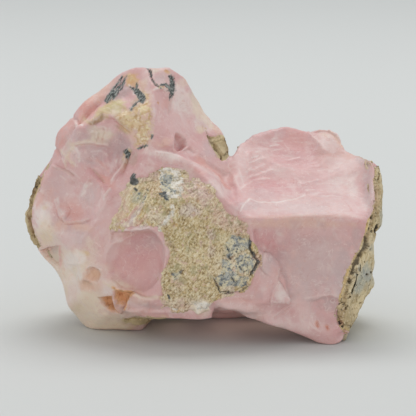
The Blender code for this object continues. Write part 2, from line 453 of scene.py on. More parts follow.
# The big shell scar beside the rock.
SCAR = [
    (119, 239), (128, 234), (138, 231), (148, 229), (158, 231), (164, 241), (167, 252), (165, 266), (160, 278),
    (153, 288), (143, 292), (131, 291), (120, 284), (109, 274), (105, 264), (107, 253), (112, 245),
]  # fmt: skip

# What breaks the front: a shape, where it runs, and its sizes.
RELIEF = [
    # The left lobe: a thick red lip in two parts along its top, and a ledge under the vein.
    (bowl, (62, 137), (12, 24), -0.9),
    (bowl, (89, 104), (20, 10), -0.6, -42),
    (rib, [(107, 99), (92, 110), (84, 117), (77, 123), (72, 128), (68, 138), (60, 152)], -0.75, 1.9),
    (rib, [(70, 115), (75, 119), (80, 124)], -0.6, 1.8),
    (step, [(132, 134), (124, 128), (114, 119), (103, 117), (92, 124), (84, 122)], 0.9, 14),
    (bowl, (114, 108), (20, 8), -0.9, -22),
    (rib, [(92, 125), (98, 122), (105, 117)], -0.4, 2.4),
    (bowl, (102, 133), (12, 9), -0.35, 15),
    (bowl, (121, 126), (6, 5), 0.6, 20),
    (bowl, (119, 148), (13, 16), 0.6, 15),
    (bowl, (90, 157), (12, 13), 0.5, -10),
    (bowl, (78, 143), (8, 10), 0.4, 30),
    (rib, [(108, 140), (105, 150), (107, 160), (110, 168)], 0.3, 3.2),
    (rib, [(117, 150), (114, 162), (110, 172)], 0.2, 1.8),
    (rib, [(127, 152), (123, 165), (118, 174), (111, 182)], 0.6, 1.4),
    (rib, [(131, 147), (128, 158), (125, 167), (120, 178)], -0.45, 1.5),
    (bowl, (70, 157), (10, 12), -0.4, 20),
    (step, [(114, 148), (103, 145), (92, 143), (80, 144), (71, 146)], 0.55, 8),
    (rib, [(114, 127), (117, 136), (113, 146)], 0.2, 2.5),
    (rib, [(94, 128), (97, 136), (95, 143)], 0.22, 0.9),
    (rib, [(103, 126), (105, 133), (102, 141)], -0.25, 0.9),
    (rib, [(88, 131), (96, 133), (108, 131)], 0.2, 0.9),
    (step, [(118, 158), (116, 167), (110, 176)], 0.35, 7),
    (rib, [(104, 152), (103, 162), (106, 171)], 0.2, 1.0),
    (rib, [(82, 147), (90, 156), (100, 163)], 0.22, 2.4),
    (rib, [(57, 172), (66, 176), (74, 184)], 0.2, 1.2),
    (rib, [(73, 145), (68, 155), (66, 165)], 0.28, 1.0),
    (rib, [(64, 151), (69, 158), (75, 165)], 0.28, 0.9),
    (rib, [(77, 150), (74, 158), (74, 168)], -0.3, 1.0),
    (rib, [(69, 147), (75, 152), (79, 160)], 0.25, 0.9),
    (rib, [(53, 146), (58, 151), (63, 158)], -0.5, 1.6),
    (step, [(51, 163), (60, 167), (68, 171), (78, 179)], 0.75, 12),
    (rib, [(84, 166), (92, 172), (98, 177), (106, 185)], -0.6, 2.6),
    (bowl, (99, 171), (9, 4), -0.35, 35),
    # Shell breaks down the left flank.
    (dish, [(86, 177), (97, 179), (105, 187), (103, 197), (95, 208), (86, 206), (83, 194)], 0.8, 9),
    (rib, [(89, 176), (87, 182), (83, 190)], 0.45, 1.1),
    (rib, [(112, 187), (106, 194), (105, 199)], 0.4, 1.2),
    (chip, [(54, 198), (60, 198), (70, 209), (66, 221), (59, 216)], -0.4, -0.2, 0.35),
    (rib, [(54, 198), (57, 208), (62, 221)], 0.45, 1.4),
    (step, [(121, 189), (112, 198), (103, 210), (95, 219)], 0.3, 10),
    (step, [(94, 218), (86, 223), (75, 224), (65, 223), (58, 217)], 0.9, 12),
    (bowl, (77, 231), (17, 5), 0.45, 5),
    (rib, [(102, 216), (92, 229), (84, 239), (78, 246)], 0.35, 2.2),
    (rib, [(100, 226), (96, 240), (95, 254)], 0.35, 1.8),
    (dish, [(78, 250), (93, 240), (100, 250), (99, 262), (88, 266), (77, 262)], 0.6, 7),
    (chip, [(40, 250), (48, 247), (58.5, 246), (60, 256), (60, 268), (54, 265), (45, 258)], 1.3, 0.5, 0.2),
    (rib, [(58, 245), (60, 256), (62, 267), (65, 278)], 0.6, 1.2),
    (rib, [(44, 200), (48, 214), (46, 230)], -0.3, 3),
    (bowl, (46, 222), (8, 16), -0.5),
    # The cream foot: worn hollows and two rusty pits that share a thin wall.
    (dish, [(86, 270), (91, 266), (98, 268), (101, 276), (98, 283), (90, 282), (86, 277)], 1.4, 5),
    (rib, [(85, 272), (89, 266), (97, 266), (102, 273)], 0.4, 1.1),
    (bowl, (86, 285), (9, 5), 0.9, 28),
    (bowl, (74, 300), (9, 14), -0.5),
    (rib, [(68, 268), (74, 280), (78, 294)], -0.35, 3),
    (rib, [(66, 262), (76, 264), (84, 262)], 0.3, 1.8),
    (dish, [(97, 297), (113, 296.5), (114, 304), (122, 314), (112, 312.5), (103, 307)], 2.6, 3.2),
    (dish, [(116, 290), (134, 291.5), (130, 298), (125, 305), (122, 311), (117, 304), (115, 297)], 2.6, 3.2),
    (rib, [(113, 290), (113.5, 298), (116, 306), (122, 313)], 0.9, 1.0, 0.05),
    (rib, [(114, 289), (124, 288), (136, 292)], 0.5, 1.2),
    (rib, [(118, 291), (126, 292), (133, 294)], 0.5, 0.8),
    # The big shell scar beside the rock, the chips over it, and the ledge below it.
    (dish, SCAR, 2.6, 20),
    (chip, [(111, 232), (130, 231), (135, 233), (119, 241), (111, 243)], 0.7, 0.2, 0.5),
    (step, [(160, 232), (150, 228), (140, 229), (128, 231), (112, 231)], 0.8, 9),
    (rib, [(104, 262), (109, 250), (117, 240)], 0.12, 2.2),
    (step, [(107, 275), (118, 285), (131, 292), (145, 297), (160, 297)], 0.9, 12),
    (chip, [(128, 297), (146, 299), (148, 310), (127, 310)], 0.3, 0.3, -0.2),
    (rib, [(148, 299), (150, 306), (148, 313)], -0.3, 1.4),
    (step, [(212, 299), (198, 307), (170, 311), (140, 312)], -0.5, 8),
    (rib, [(124, 316), (160, 317), (190, 317), (212, 317)], 0.35, 1.4),
    # The peak: black-veined left face, right face, the crease at its foot and the little three-cornered hole.
    (rib, [(152, 68), (153, 92), (154, 112), (152, 132)], 0.35, 2.8),
    (rib, [(147, 65), (150, 75), (154, 83), (159, 90)], -0.7, 1.2),
    (bowl, (161, 79), (8, 8), 0.4),
    (step, [(171, 92), (163, 90), (154, 91)], 0.4, 9),
    (chip, [(158, 91), (168, 90), (172, 99), (171, 110), (169, 116), (165, 108), (160, 100)], 0.2, -0.3, 0.1),
    (rib, [(172, 98), (171, 107), (169, 116)], -0.35, 1.4),
    (bowl, (182, 112), (9, 22), 0.7, -20),
    (rib, [(184, 92), (192, 106), (202, 120)], 0.2, 2.4),
    (bowl, (203, 122), (8, 6), -0.4, 40),
    (chip, [(161, 136), (174, 133), (176, 140), (173, 147), (163, 146)], -0.2, 0.1, 0.35),
    (dish, [(177, 132.5), (186, 138), (188, 145), (182, 151), (177, 151.5), (173, 147)], 1.9, 2.2),
    (rib, [(178, 133), (175, 142), (176, 150)], -0.6, 0.9),
    (chip, [(183, 151), (190, 147), (196, 153), (192, 158)], 0.3, 0, 0.35),
    (rib, [(188, 138), (196, 147), (203, 157)], 0.25, 2.2),
    (rib, [(150, 149), (162, 148), (171, 150), (178, 154), (191, 159), (202, 166)], -0.35, 2.0),
    (rib, [(98, 98), (112, 95), (128, 90)], 0.25, 2.6),
    (rib, [(126, 100), (120, 86), (124, 76)], -0.35, 2.0),
    (rib, [(133, 86), (139, 95), (135, 106)], -0.4, 2.2),
    (rib, [(172, 74), (174, 84), (171, 95)], -0.4, 2.4),
    (rib, [(138, 100), (144, 112), (142, 126)], 0.35, 2.2),
    (bowl, (144, 118), (8, 12), -0.4),
    # The shelf between the peak and the block.
    (step, [(149, 151), (170, 153), (192, 161), (206, 170), (224, 186)], 0.45, 12),
    (rib, [(160, 163), (182, 166), (200, 176)], -0.4, 1.8),
    (rib, [(203, 160), (222, 172), (236, 190)], -0.5, 2.2),
    (dish, [(218, 174), (231, 172), (238, 186), (238, 202), (228, 204), (222, 192)], 0.7, 7),
    (rib, [(150, 152), (140, 160), (134, 172)], 0.4, 2.0),
    # The block: a shell dish and thin steps on its top break, a pale chip at its corner.
    (dish, [(262, 134), (288, 127), (309, 130), (317, 138), (324, 148), (331, 153), (320, 166), (292, 170),
        (266, 160), (256, 146)], 0.8, 16),
    (step, [(234, 210), (242, 203), (248, 198), (257, 202), (273, 202), (292, 200), (302, 196)], 0.22, 7),
    (step, [(246, 171), (256, 167), (265, 163)], 0.14, 7),
    (step, [(247, 177), (260, 172), (273, 168)], 0.14, 7),
    (step, [(242, 187), (250, 181), (258, 178), (270, 177)], 0.16, 7),
    (step, [(282, 159), (292, 157), (302, 155)], 0.16, 7),
    (step, [(298, 185), (310, 181), (322, 178)], 0.16, 7),
    (step, [(250, 163), (258, 159), (266, 157)], 0.14, 7),
    (step, [(244, 193), (250, 189), (256, 188)], 0.14, 7),
    (step, [(330, 176), (337, 171), (343, 165)], 0.14, 7),
    (step, [(250, 183), (247, 166), (247, 150)], 0.3, 8),
    (chip, [(310, 131), (328, 129), (336, 134), (342, 143), (346, 153), (331, 153), (324, 148), (317, 138)],
        0.3, 0.1, 0.3),
    (bowl, (352, 176), (12, 7), 0.25, -40),
    # The block's front: a wedge of flakes beside the rock, a low dish with an arched rim.
    (rib, [(255, 228), (259, 240), (263, 251)], -0.8, 2.4),
    (step, [(293, 302.5), (284, 287), (279, 279), (281.5, 268), (278, 261), (270, 253), (262, 251)], -1.0, 10,
        0.08),
    (chip, [(263, 252), (270, 253), (278, 261), (281.5, 268), (279, 278), (268, 276), (260, 266)], -0.35,
        -0.35, -0.2),
    (chip, [(260, 266), (270, 276), (278, 279), (271, 291), (269, 301), (256, 300), (253, 288)], 0.1, 0.15,
        0.25),
    (bowl, (226, 314), (18, 5), 1.3),
    (chip, [(278.5, 279), (284, 287), (293, 302), (269, 302), (272, 290)], -0.25, -0.55, 0.2),
    (rib, [(224, 301), (250, 301), (270, 302.5), (292, 302.5)], 0.2, 1.5, 0.05),
    (step, [(293, 303), (282, 311), (271, 319)], 0.6, 12),
    (dish, [(311, 301), (322, 296), (331, 295), (342, 299), (345, 318), (332, 328), (316, 322), (309, 312)],
        1.2, 11),
    (rib, [(309, 302), (321, 295.5), (331, 294), (342, 298)], 0.2, 1.0),
    (bowl, (299, 284), (7, 20), -0.25, -15),
    (bowl, (317.5, 325), (2.4, 3), 0.5),
    (bowl, (327.5, 328.5), (2.2, 2.4), 0.5),
    (chip, [(338, 334), (346, 330), (348, 336), (336, 342)], 0.5, -0.3, 0),
    # The ground under the host rock swells a little.
    (bowl, (203, 262), (50, 38), -0.7, 60),
]  # fmt: skip
front = np.zeros(len(place))
for shape, where, *sizes in RELIEF:
    front += shape(where, *sizes)

in_view = np.clip(seen * 1.15, 0, 1)
lift = front * in_view

# Everywhere: old shell breaks with faint edges between them, and slow swells.
SKIN_AREA = 17500  # square mm
shells = scatter(place, 9.0, 4, SKIN_AREA)
near_one, _, _ = nearest(place + three_grains(place, 9, (1, 2, 3)) * 2.2, shells)
hand = fade(grain(place, 16, 5), -0.5, 0.4)
hidden = 1 - np.clip(seen * 1.2, 0, 1)
lift += (0.013 * near_one**2 - 0.3) * (0.25 * hand + 0.9 * hidden)
flakes = scatter(place, 4.4, 6, SKIN_AREA)
near_one, _, _ = nearest(place + three_grains(place, 4, (7, 8, 9)), flakes)
hand = fade(grain(place, 11, 10), -0.1, 0.5)
lift += (0.03 * near_one**2 - 0.08) * hand * (0.5 + 0.9 * hidden)
lift += 0.07 * grain(place, 5.5, 11) + 0.045 * grain(place, 2.3, 12)
lift += 0.02 * grain(place, 0.9, 13)
# the lobe under the vein, the vein and the flank under them broke rougher than the rest
lobe_break = fade(1.3 - round_reach((101, 143), (32, 26), 20), 0, 0.5)
vein_break = fade(1.2 - round_reach((139, 122), (15, 27)), 0, 0.4)
flank_break = fade(1.2 - round_reach((85, 195), (32, 26)), 0, 0.5)
coarse_break = in_view * np.clip(lobe_break + 0.8 * vein_break + 0.5 * flank_break, 0, 1)
crumble = 0.2 * grain(place, 3.1, 16) + 0.14 * grain(place, 1.9, 14) + 0.12 * grain(place, 1.1, 15)
lift += coarse_break * crumble
rock_depth = rock_depth_of(place, in_view)
rind_depth = rind_depth_of(place, outward, in_view)
rock_sunk = 0.9 * fade(rock_depth, 0.1, 1.5)
rind_sunk = 1.9 * fade(rind_depth, 0.0, 1.4)
# how far each point stands above or sinks below its neighbours: ridges are painted paler, partly as wear and
# partly as a painted highlight, and creases get painted shade
wear_and_shade = (lift - relax(lift, joins, 3)) * fade(np.minimum(-rock_depth, -rind_depth), -0.6, 0.2)
wear_and_shade *= 1 + coarse_break
lift -= np.maximum(rock_sunk, rind_sunk)
lift *= fade(place[:, 2], 0, GROUND_CLEAR)

place = place + outward * lift[:, None]
place[:, 2] = np.maximum(place[:, 2], 0)
put_points(body, place)

# The opal's own colours, as it grades from deep rose through milk to cream, the stains the vein left, and a
# cream for painted light.
ROSE = (0.655, 0.41, 0.40)
DEEP = (0.615, 0.315, 0.32)
RED = (0.67, 0.355, 0.31)
PALE = (0.72, 0.545, 0.525)
MILK = (0.78, 0.70, 0.665)
CREAM = (0.745, 0.635, 0.51)
PEACH = (0.72, 0.48, 0.38)
BEIGE = (0.655, 0.56, 0.46)
MAUVE = (0.49, 0.365, 0.365)
LILAC = (0.585, 0.465, 0.465)
OCHRE = (0.66, 0.48, 0.22)
ORANGE = (0.66, 0.42, 0.22)
RUST = (0.66, 0.33, 0.15)
TAN = (0.68, 0.56, 0.33)
OLIVE = (0.60, 0.52, 0.26)
BROWN = (0.40, 0.28, 0.15)
DARK = (0.20, 0.14, 0.10)
SALMON = (0.62, 0.25, 0.17)
BUTTER = (0.80, 0.665, 0.53)
# a cream that paints in the light thrown up from the table onto the foot's bottom
PAINTED_BOUNCE_CREAM = (0.92, 0.78, 0.62)

tint = np.tile(np.array(ROSE), (len(place), 1))


def mix_in(colour, share):
    """Mixes a colour into the skin by a share for each point."""
    share = np.clip(share, 0, 1)[:, None]
    tint[:] = tint * (1 - share) + np.array(colour) * share


# Slow clouds through the whole stone.
mix_in(PALE, 0.8 * fade(grain(place, 19, 21) + 0.4 * grain(place, 8, 22), 0.0, 0.8))
mix_in(DEEP, 0.7 * fade(grain(place, 16, 23) + 0.4 * grain(place, 7, 24), 0.1, 0.8))
mix_in(LILAC, 0.5 * fade(grain(place, 13, 25) + 0.3 * grain(place, 5, 26), 0.2, 0.8))
mix_in(PEACH, 0.4 * fade(grain(place, 14, 27), 0.2, 0.8))
# Cream and milk low on the left, running round the back.
to_the_left = fade(-place[:, 0] + 3 * grain(place, 9, 28), 16, 34)
low_down = fade(34 - place[:, 2] + 4 * grain(place, 7, 29), 0, 14)
mix_in(CREAM, 0.85 * (to_the_left * low_down))

# Soft washes on the best face, some of them painted light or shade as marked: colour, middle, radii, turn,
# strength.
WASHES = [
    (ROSE, (208, 200), (170, 130), 0, 0.75),
    # the peak's left side; the red along its top edge is partly painted shade where its faces turn away
    (RED, (88, 106), (20, 13), -40, 0.85), (RED, (63, 134), (11, 20), 15, 0.7),
    (PEACH, (100, 92), (18, 10), -35, 0.6), (ROSE, (140, 78), (20, 12), 0, 0.6),
    (MAUVE, (119, 93), (15, 10), -20, 0.8), (ORANGE, (131, 79), (8, 8), 20, 1.0),
    (PALE, (147, 88), (6, 18), 0, 0.6), (LILAC, (80, 138), (18, 12), 0, 0.6),
    (MAUVE, (118, 150), (18, 18), 20, 0.5), (DEEP, (112, 162), (10, 16), 10, 0.5),
    (BEIGE, (98, 132), (10, 8), 0, 0.8), (BEIGE, (107, 134), (9, 7), 25, 0.8),
    (CREAM, (103, 134), (10, 7), 10, 0.55), (MAUVE, (121, 146), (12, 14), 15, 0.45),
    (PALE, (72, 155), (10, 11), 20, 0.85), (BEIGE, (70, 146), (6, 7), 0, 0.4),
    (LILAC, (90, 158), (14, 14), 0, 0.4), (MAUVE, (92, 160), (10, 10), 0, 0.3),
    # the tan vein: a smooth tongue, a gritty field and a brown arm
    (CREAM, (140, 122), (13, 24), 0, 0.6), (TAN, (108, 114), (16, 7), -20, 0.6),
    (OLIVE, (115, 109), (18, 9), -20, 0.9), (OLIVE, (121, 110), (11, 8), -10, 0.7),
    (CREAM, (118, 117), (12, 5), 10, 0.5), (TAN, (124, 122), (11, 9), 40, 0.7),
    (OCHRE, (127, 127), (8, 6), 50, 0.45), (BROWN, (119, 111), (15, 7), -12, 0.32),
    (OLIVE, (122, 105), (10, 7), 0, 0.5), (BROWN, (135, 106), (8, 7), 0, 0.3),
    (BROWN, (111, 104), (8, 5), -30, 0.3), (CREAM, (143, 96), (8, 10), 20, 0.4),
    (BROWN, (99, 119), (9, 4), -28, 0.45), (PEACH, (84, 119), (6, 4), 30, 0.5),
    (OCHRE, (144, 84), (5, 6), 0, 0.3), (PEACH, (147, 112), (7, 16), 0, 0.6),
    (CREAM, (142, 138), (9, 9), -25, 0.6), (PEACH, (135, 136), (8, 6), 0, 0.6),
    (BROWN, (126, 160), (4, 10), 12, 0.35), (PEACH, (123, 168), (4, 8), 10, 0.5),
    # the left flank
    (LILAC, (58, 185), (20, 18), 0, 0.4), (RED, (72, 210), (16, 14), 20, 0.65),
    # the red where the lobe's groove ends is painted shade in it
    (RED, (106, 181), (12, 6), 40, 0.75), (LILAC, (88, 195), (9, 12), 0, 0.6),
    (ROSE, (100, 215), (14, 30), 10, 0.6), (PEACH, (60, 224), (8, 10), 0, 0.6),
    (PEACH, (82, 228), (12, 5), 0, 0.6), (LILAC, (78, 238), (14, 9), 0, 0.4),
    (PALE, (66, 242), (12, 14), 0, 0.6), (MILK, (43, 215), (10, 17), 10, 0.9),
    (CREAM, (46, 234), (11, 12), 20, 0.8), (OCHRE, (47, 238), (7, 7), 30, 0.35),
    (BEIGE, (53, 257), (7, 11), -20, 0.95), (MAUVE, (50, 250), (7, 6), 30, 0.35),
    (OCHRE, (83, 254), (6, 3), 10, 0.7), (OCHRE, (45, 208), (4, 4), 0, 0.3),
    (PALE, (92, 194), (14, 14), 0, 0.35), (PALE, (68, 190), (12, 15), 0, 0.45),
    (BUTTER, (71, 259), (13, 10), 0, 0.6), (PALE, (99, 216), (14, 16), 0, 0.35),
    # the cream foot: its butter and cream washes are partly painted light where the table's shade falls on it,
    # and the glowing cream along its bottom is painted light thrown up from the table
    (BUTTER, (73, 276), (16, 22), 0, 0.5), (BUTTER, (84, 308), (18, 18), 0, 0.85),
    (PAINTED_BOUNCE_CREAM, (100, 323), (30, 12), 0, 0.85), (BUTTER, (46, 228), (9, 16), 0, 0.3),
    (CREAM, (76, 268), (18, 16), 0, 0.7), (MILK, (72, 260), (14, 9), -10, 0.75),
    (MILK, (82, 282), (18, 14), 0, 0.6), (CREAM, (84, 305), (20, 26), 0, 0.85),
    (PEACH, (92, 274), (9, 8), 0, 0.9), (ORANGE, (93, 276), (7, 6), 0, 0.35),
    (PEACH, (88, 286), (11, 6), 28, 0.9), (BROWN, (88, 286), (8, 4), 28, 0.3),
    (MILK, (106, 288), (8, 9), 0, 0.7), (PALE, (72, 296), (8, 16), 0, 0.5),
    (CREAM, (112, 322), (26, 12), 0, 0.6), (OCHRE, (120, 327), (22, 5), 0, 0.35),
    (OCHRE, (78, 308), (8, 8), 0, 0.2),
    # the shell scar and the ledge; the deep strip under the scar's top rim is painted shade, and the scar's
    # darker top and paler foot are partly painted shade and light
    (MAUVE, (142, 244), (18, 13), 0, 0.55), (DEEP, (130, 262), (24, 24), 0, 0.5),
    (ROSE, (136, 284), (22, 12), 0, 0.7), (PALE, (112, 246), (7, 16), 20, 0.6),
    (PALE, (120, 232), (14, 5), 0, 0.3), (DEEP, (135, 236), (18, 5), 0, 0.5),
    (PEACH, (124, 288), (22, 5), 15, 0.6), (CREAM, (118, 284), (12, 5), 20, 0.5),
    (PALE, (164, 252), (6, 16), 0, 0.6), (ROSE, (150, 304), (26, 7), 0, 0.8),
    (PALE, (140, 305), (16, 7), 0, 0.6), (PALE, (180, 310), (34, 5), 0, 0.5),
    (DEEP, (170, 316), (44, 3), 0, 0.4), (MILK, (206, 308), (8, 9), 0, 0.7),
    (PEACH, (205, 312), (8, 5), 0, 0.4), (PEACH, (140, 300), (14, 5), 0, 0.4),
    # the peak's right side; its pale and milk washes are partly painted light on this side
    (PALE, (162, 80), (13, 10), 0, 0.55), (LILAC, (160, 80), (10, 8), 0, 0.6),
    (BEIGE, (154, 71), (7, 4), 0, 0.7), (PALE, (178, 118), (24, 30), 0, 0.55),
    (MILK, (183, 98), (12, 18), -20, 0.6), (MILK, (178, 106), (8, 8), 0, 0.5),
    (ROSE, (164, 124), (12, 18), 0, 0.5), (DEEP, (164, 140), (20, 9), 0, 0.3),
    (RED, (166, 103), (5, 9), 0, 0.5), (MILK, (203, 124), (11, 13), -20, 0.5),
    (TAN, (201, 131), (5, 5), 0, 0.4), (LILAC, (210, 146), (9, 13), 0, 0.5),
    # the deep wash inside the little three-cornered hole is partly painted shade in it
    (DEEP, (182, 143), (6, 8), 0, 0.8), (CREAM, (201, 110), (8, 22), -38, 0.8),
    (BEIGE, (193, 97), (5, 10), -25, 0.5), (ORANGE, (167, 72), (3, 2), 0, 0.8),
    (CREAM, (184, 82), (6, 6), 0, 0.5), (PALE, (168, 66), (14, 4), 0, 0.7),
    (PEACH, (165, 142), (8, 5), -25, 0.5), (PALE, (190, 152), (8, 6), 0, 0.6),
    (PEACH, (219, 130), (6, 5), 0, 0.6), (PEACH, (155, 150), (14, 8), 0, 0.3),
    (BROWN, (133, 160), (5, 8), -10, 0.25),
    # the shelf
    (PALE, (168, 157), (26, 8), 14, 0.9), (MILK, (170, 156), (18, 5), 12, 0.75),
    (RED, (205, 166), (18, 6), 30, 0.6), (RED, (196, 170), (14, 4), 25, 0.5),
    (DEEP, (218, 178), (16, 8), 45, 0.65), (PALE, (196, 166), (20, 3), 25, 0.3),
    (RED, (228, 175), (12, 10), 20, 0.5), (PALE, (219, 188), (14, 8), 40, 0.8),
    (MILK, (219, 188), (10, 7), 40, 0.3), (PALE, (220, 170), (18, 8), 20, 0.55),
    (PALE, (188, 171), (14, 7), 10, 0.8), (DEEP, (236, 190), (8, 16), -10, 0.4),
    (PALE, (124, 195), (9, 14), 0, 0.5), (PALE, (149, 168), (12, 9), 0, 0.65),
    # the block's top
    (DEEP, (288, 148), (30, 18), 0, 0.5), (RED, (298, 141), (20, 10), 0, 0.35),
    (DEEP, (262, 186), (24, 12), 0, 0.3), (PALE, (242, 170), (8, 24), 0, 0.6),
    (PALE, (262, 150), (14, 12), 0, 0.3), (DEEP, (280, 188), (32, 9), 0, 0.7),
    (LILAC, (262, 194), (22, 8), 0, 0.35), (PALE, (345, 170), (26, 20), 0, 0.7),
    (MILK, (353, 187), (7, 13), 0, 0.5), (PALE, (305, 207), (60, 9), 0, 0.75),
    (ROSE, (325, 202), (40, 8), 0, 0.2), (LILAC, (368, 184), (6, 22), 0, 0.7),
    (LILAC, (300, 208), (40, 6), 0, 0.3), (MILK, (335, 186), (8, 8), -20, 0.3),
    # the chip at the block's corner is painted pale and milky, partly as painted light on it
    (PALE, (331, 141), (19, 14), 35, 0.8), (MILK, (328, 138), (18, 12), 35, 0.25),
    (CREAM, (325, 133), (9, 4), 20, 0.4), (ROSE, (320, 178), (24, 14), 0, 0.5),
    (PEACH, (305, 217), (60, 3), 0, 0.35), (MAUVE, (357, 238), (7, 14), 15, 0.55),
    (MAUVE, (363, 162), (10, 4), 35, 0.5), (LILAC, (246, 206), (14, 5), 0, 0.6),
    # the block's front
    (PEACH, (305, 224), (60, 6), 0, 0.6), (DEEP, (275, 243), (24, 14), 10, 0.75),
    (ROSE, (310, 240), (40, 16), 0, 0.5), (LILAC, (320, 272), (40, 34), 0, 0.45),
    (PALE, (318, 258), (26, 20), 0, 0.3), (PALE, (300, 300), (16, 30), -10, 0.6),
    (LILAC, (344, 276), (12, 24), 0, 0.5), (PALE, (310, 322), (26, 12), 20, 0.5),
    (MAUVE, (331, 306), (13, 9), 0, 0.6), (LILAC, (336, 284), (10, 12), 0, 0.4),
    (PALE, (290, 326), (28, 6), 15, 0.5), (DEEP, (340, 332), (10, 6), 0, 0.4),
    (PALE, (262, 254), (4, 10), 0, 0.5), (LILAC, (266, 268), (9, 14), 0, 0.6),
    # the milky wash on the wedge's lower facet is partly painted light on that facet
    (MILK, (281, 293), (9, 11), 0, 0.75), (MAUVE, (312, 258), (44, 42), 0, 0.33),
    (PALE, (250, 312), (44, 9), 14, 0.7), (PALE, (264, 290), (5, 12), 0, 0.4),
    (PALE, (262, 256), (4, 6), 0, 0.6), (RED, (236, 301), (20, 2.5), 0, 0.3),
    (LILAC, (258, 296), (10, 5), 0, 0.4),
    # paler and darker patches here and there, and more painted light thrown up from the table on the foot's
    # bottom
    (MILK, (150, 160), (8, 14), 0, 0.3), (PALE, (123, 158), (8, 8), 0, 0.4),
    (PEACH, (97, 287), (8, 7), 0, 0.5), (PAINTED_BOUNCE_CREAM, (111, 327), (13, 7), 0, 0.7),
    (BROWN, (137, 105), (8, 8), 0, 0.25), (MAUVE, (357, 249), (7, 8), 0, 0.4),
]  # fmt: skip


def lay_on(washes, lines):
    """Lays soft washes and thin lines on the side in view."""
    edge = 0.34 * grain(place, 3.2, 31) + 0.24 * grain(place, 1.3, 32) + 0.14 * grain(place, 0.6, 34)
    for colour, middle, radii, turn, strength in washes:
        mix_in(colour, strength * in_view * fade(1.22 - round_reach(middle, radii, turn) - edge, 0, 0.85))
    edge = 0.5 * grain(place, 1.1, 33)
    for colour, line, width, strength in lines:
        mix_in(colour, strength * in_view * np.exp(-((along_line(line)[0] / width + edge) ** 2)))
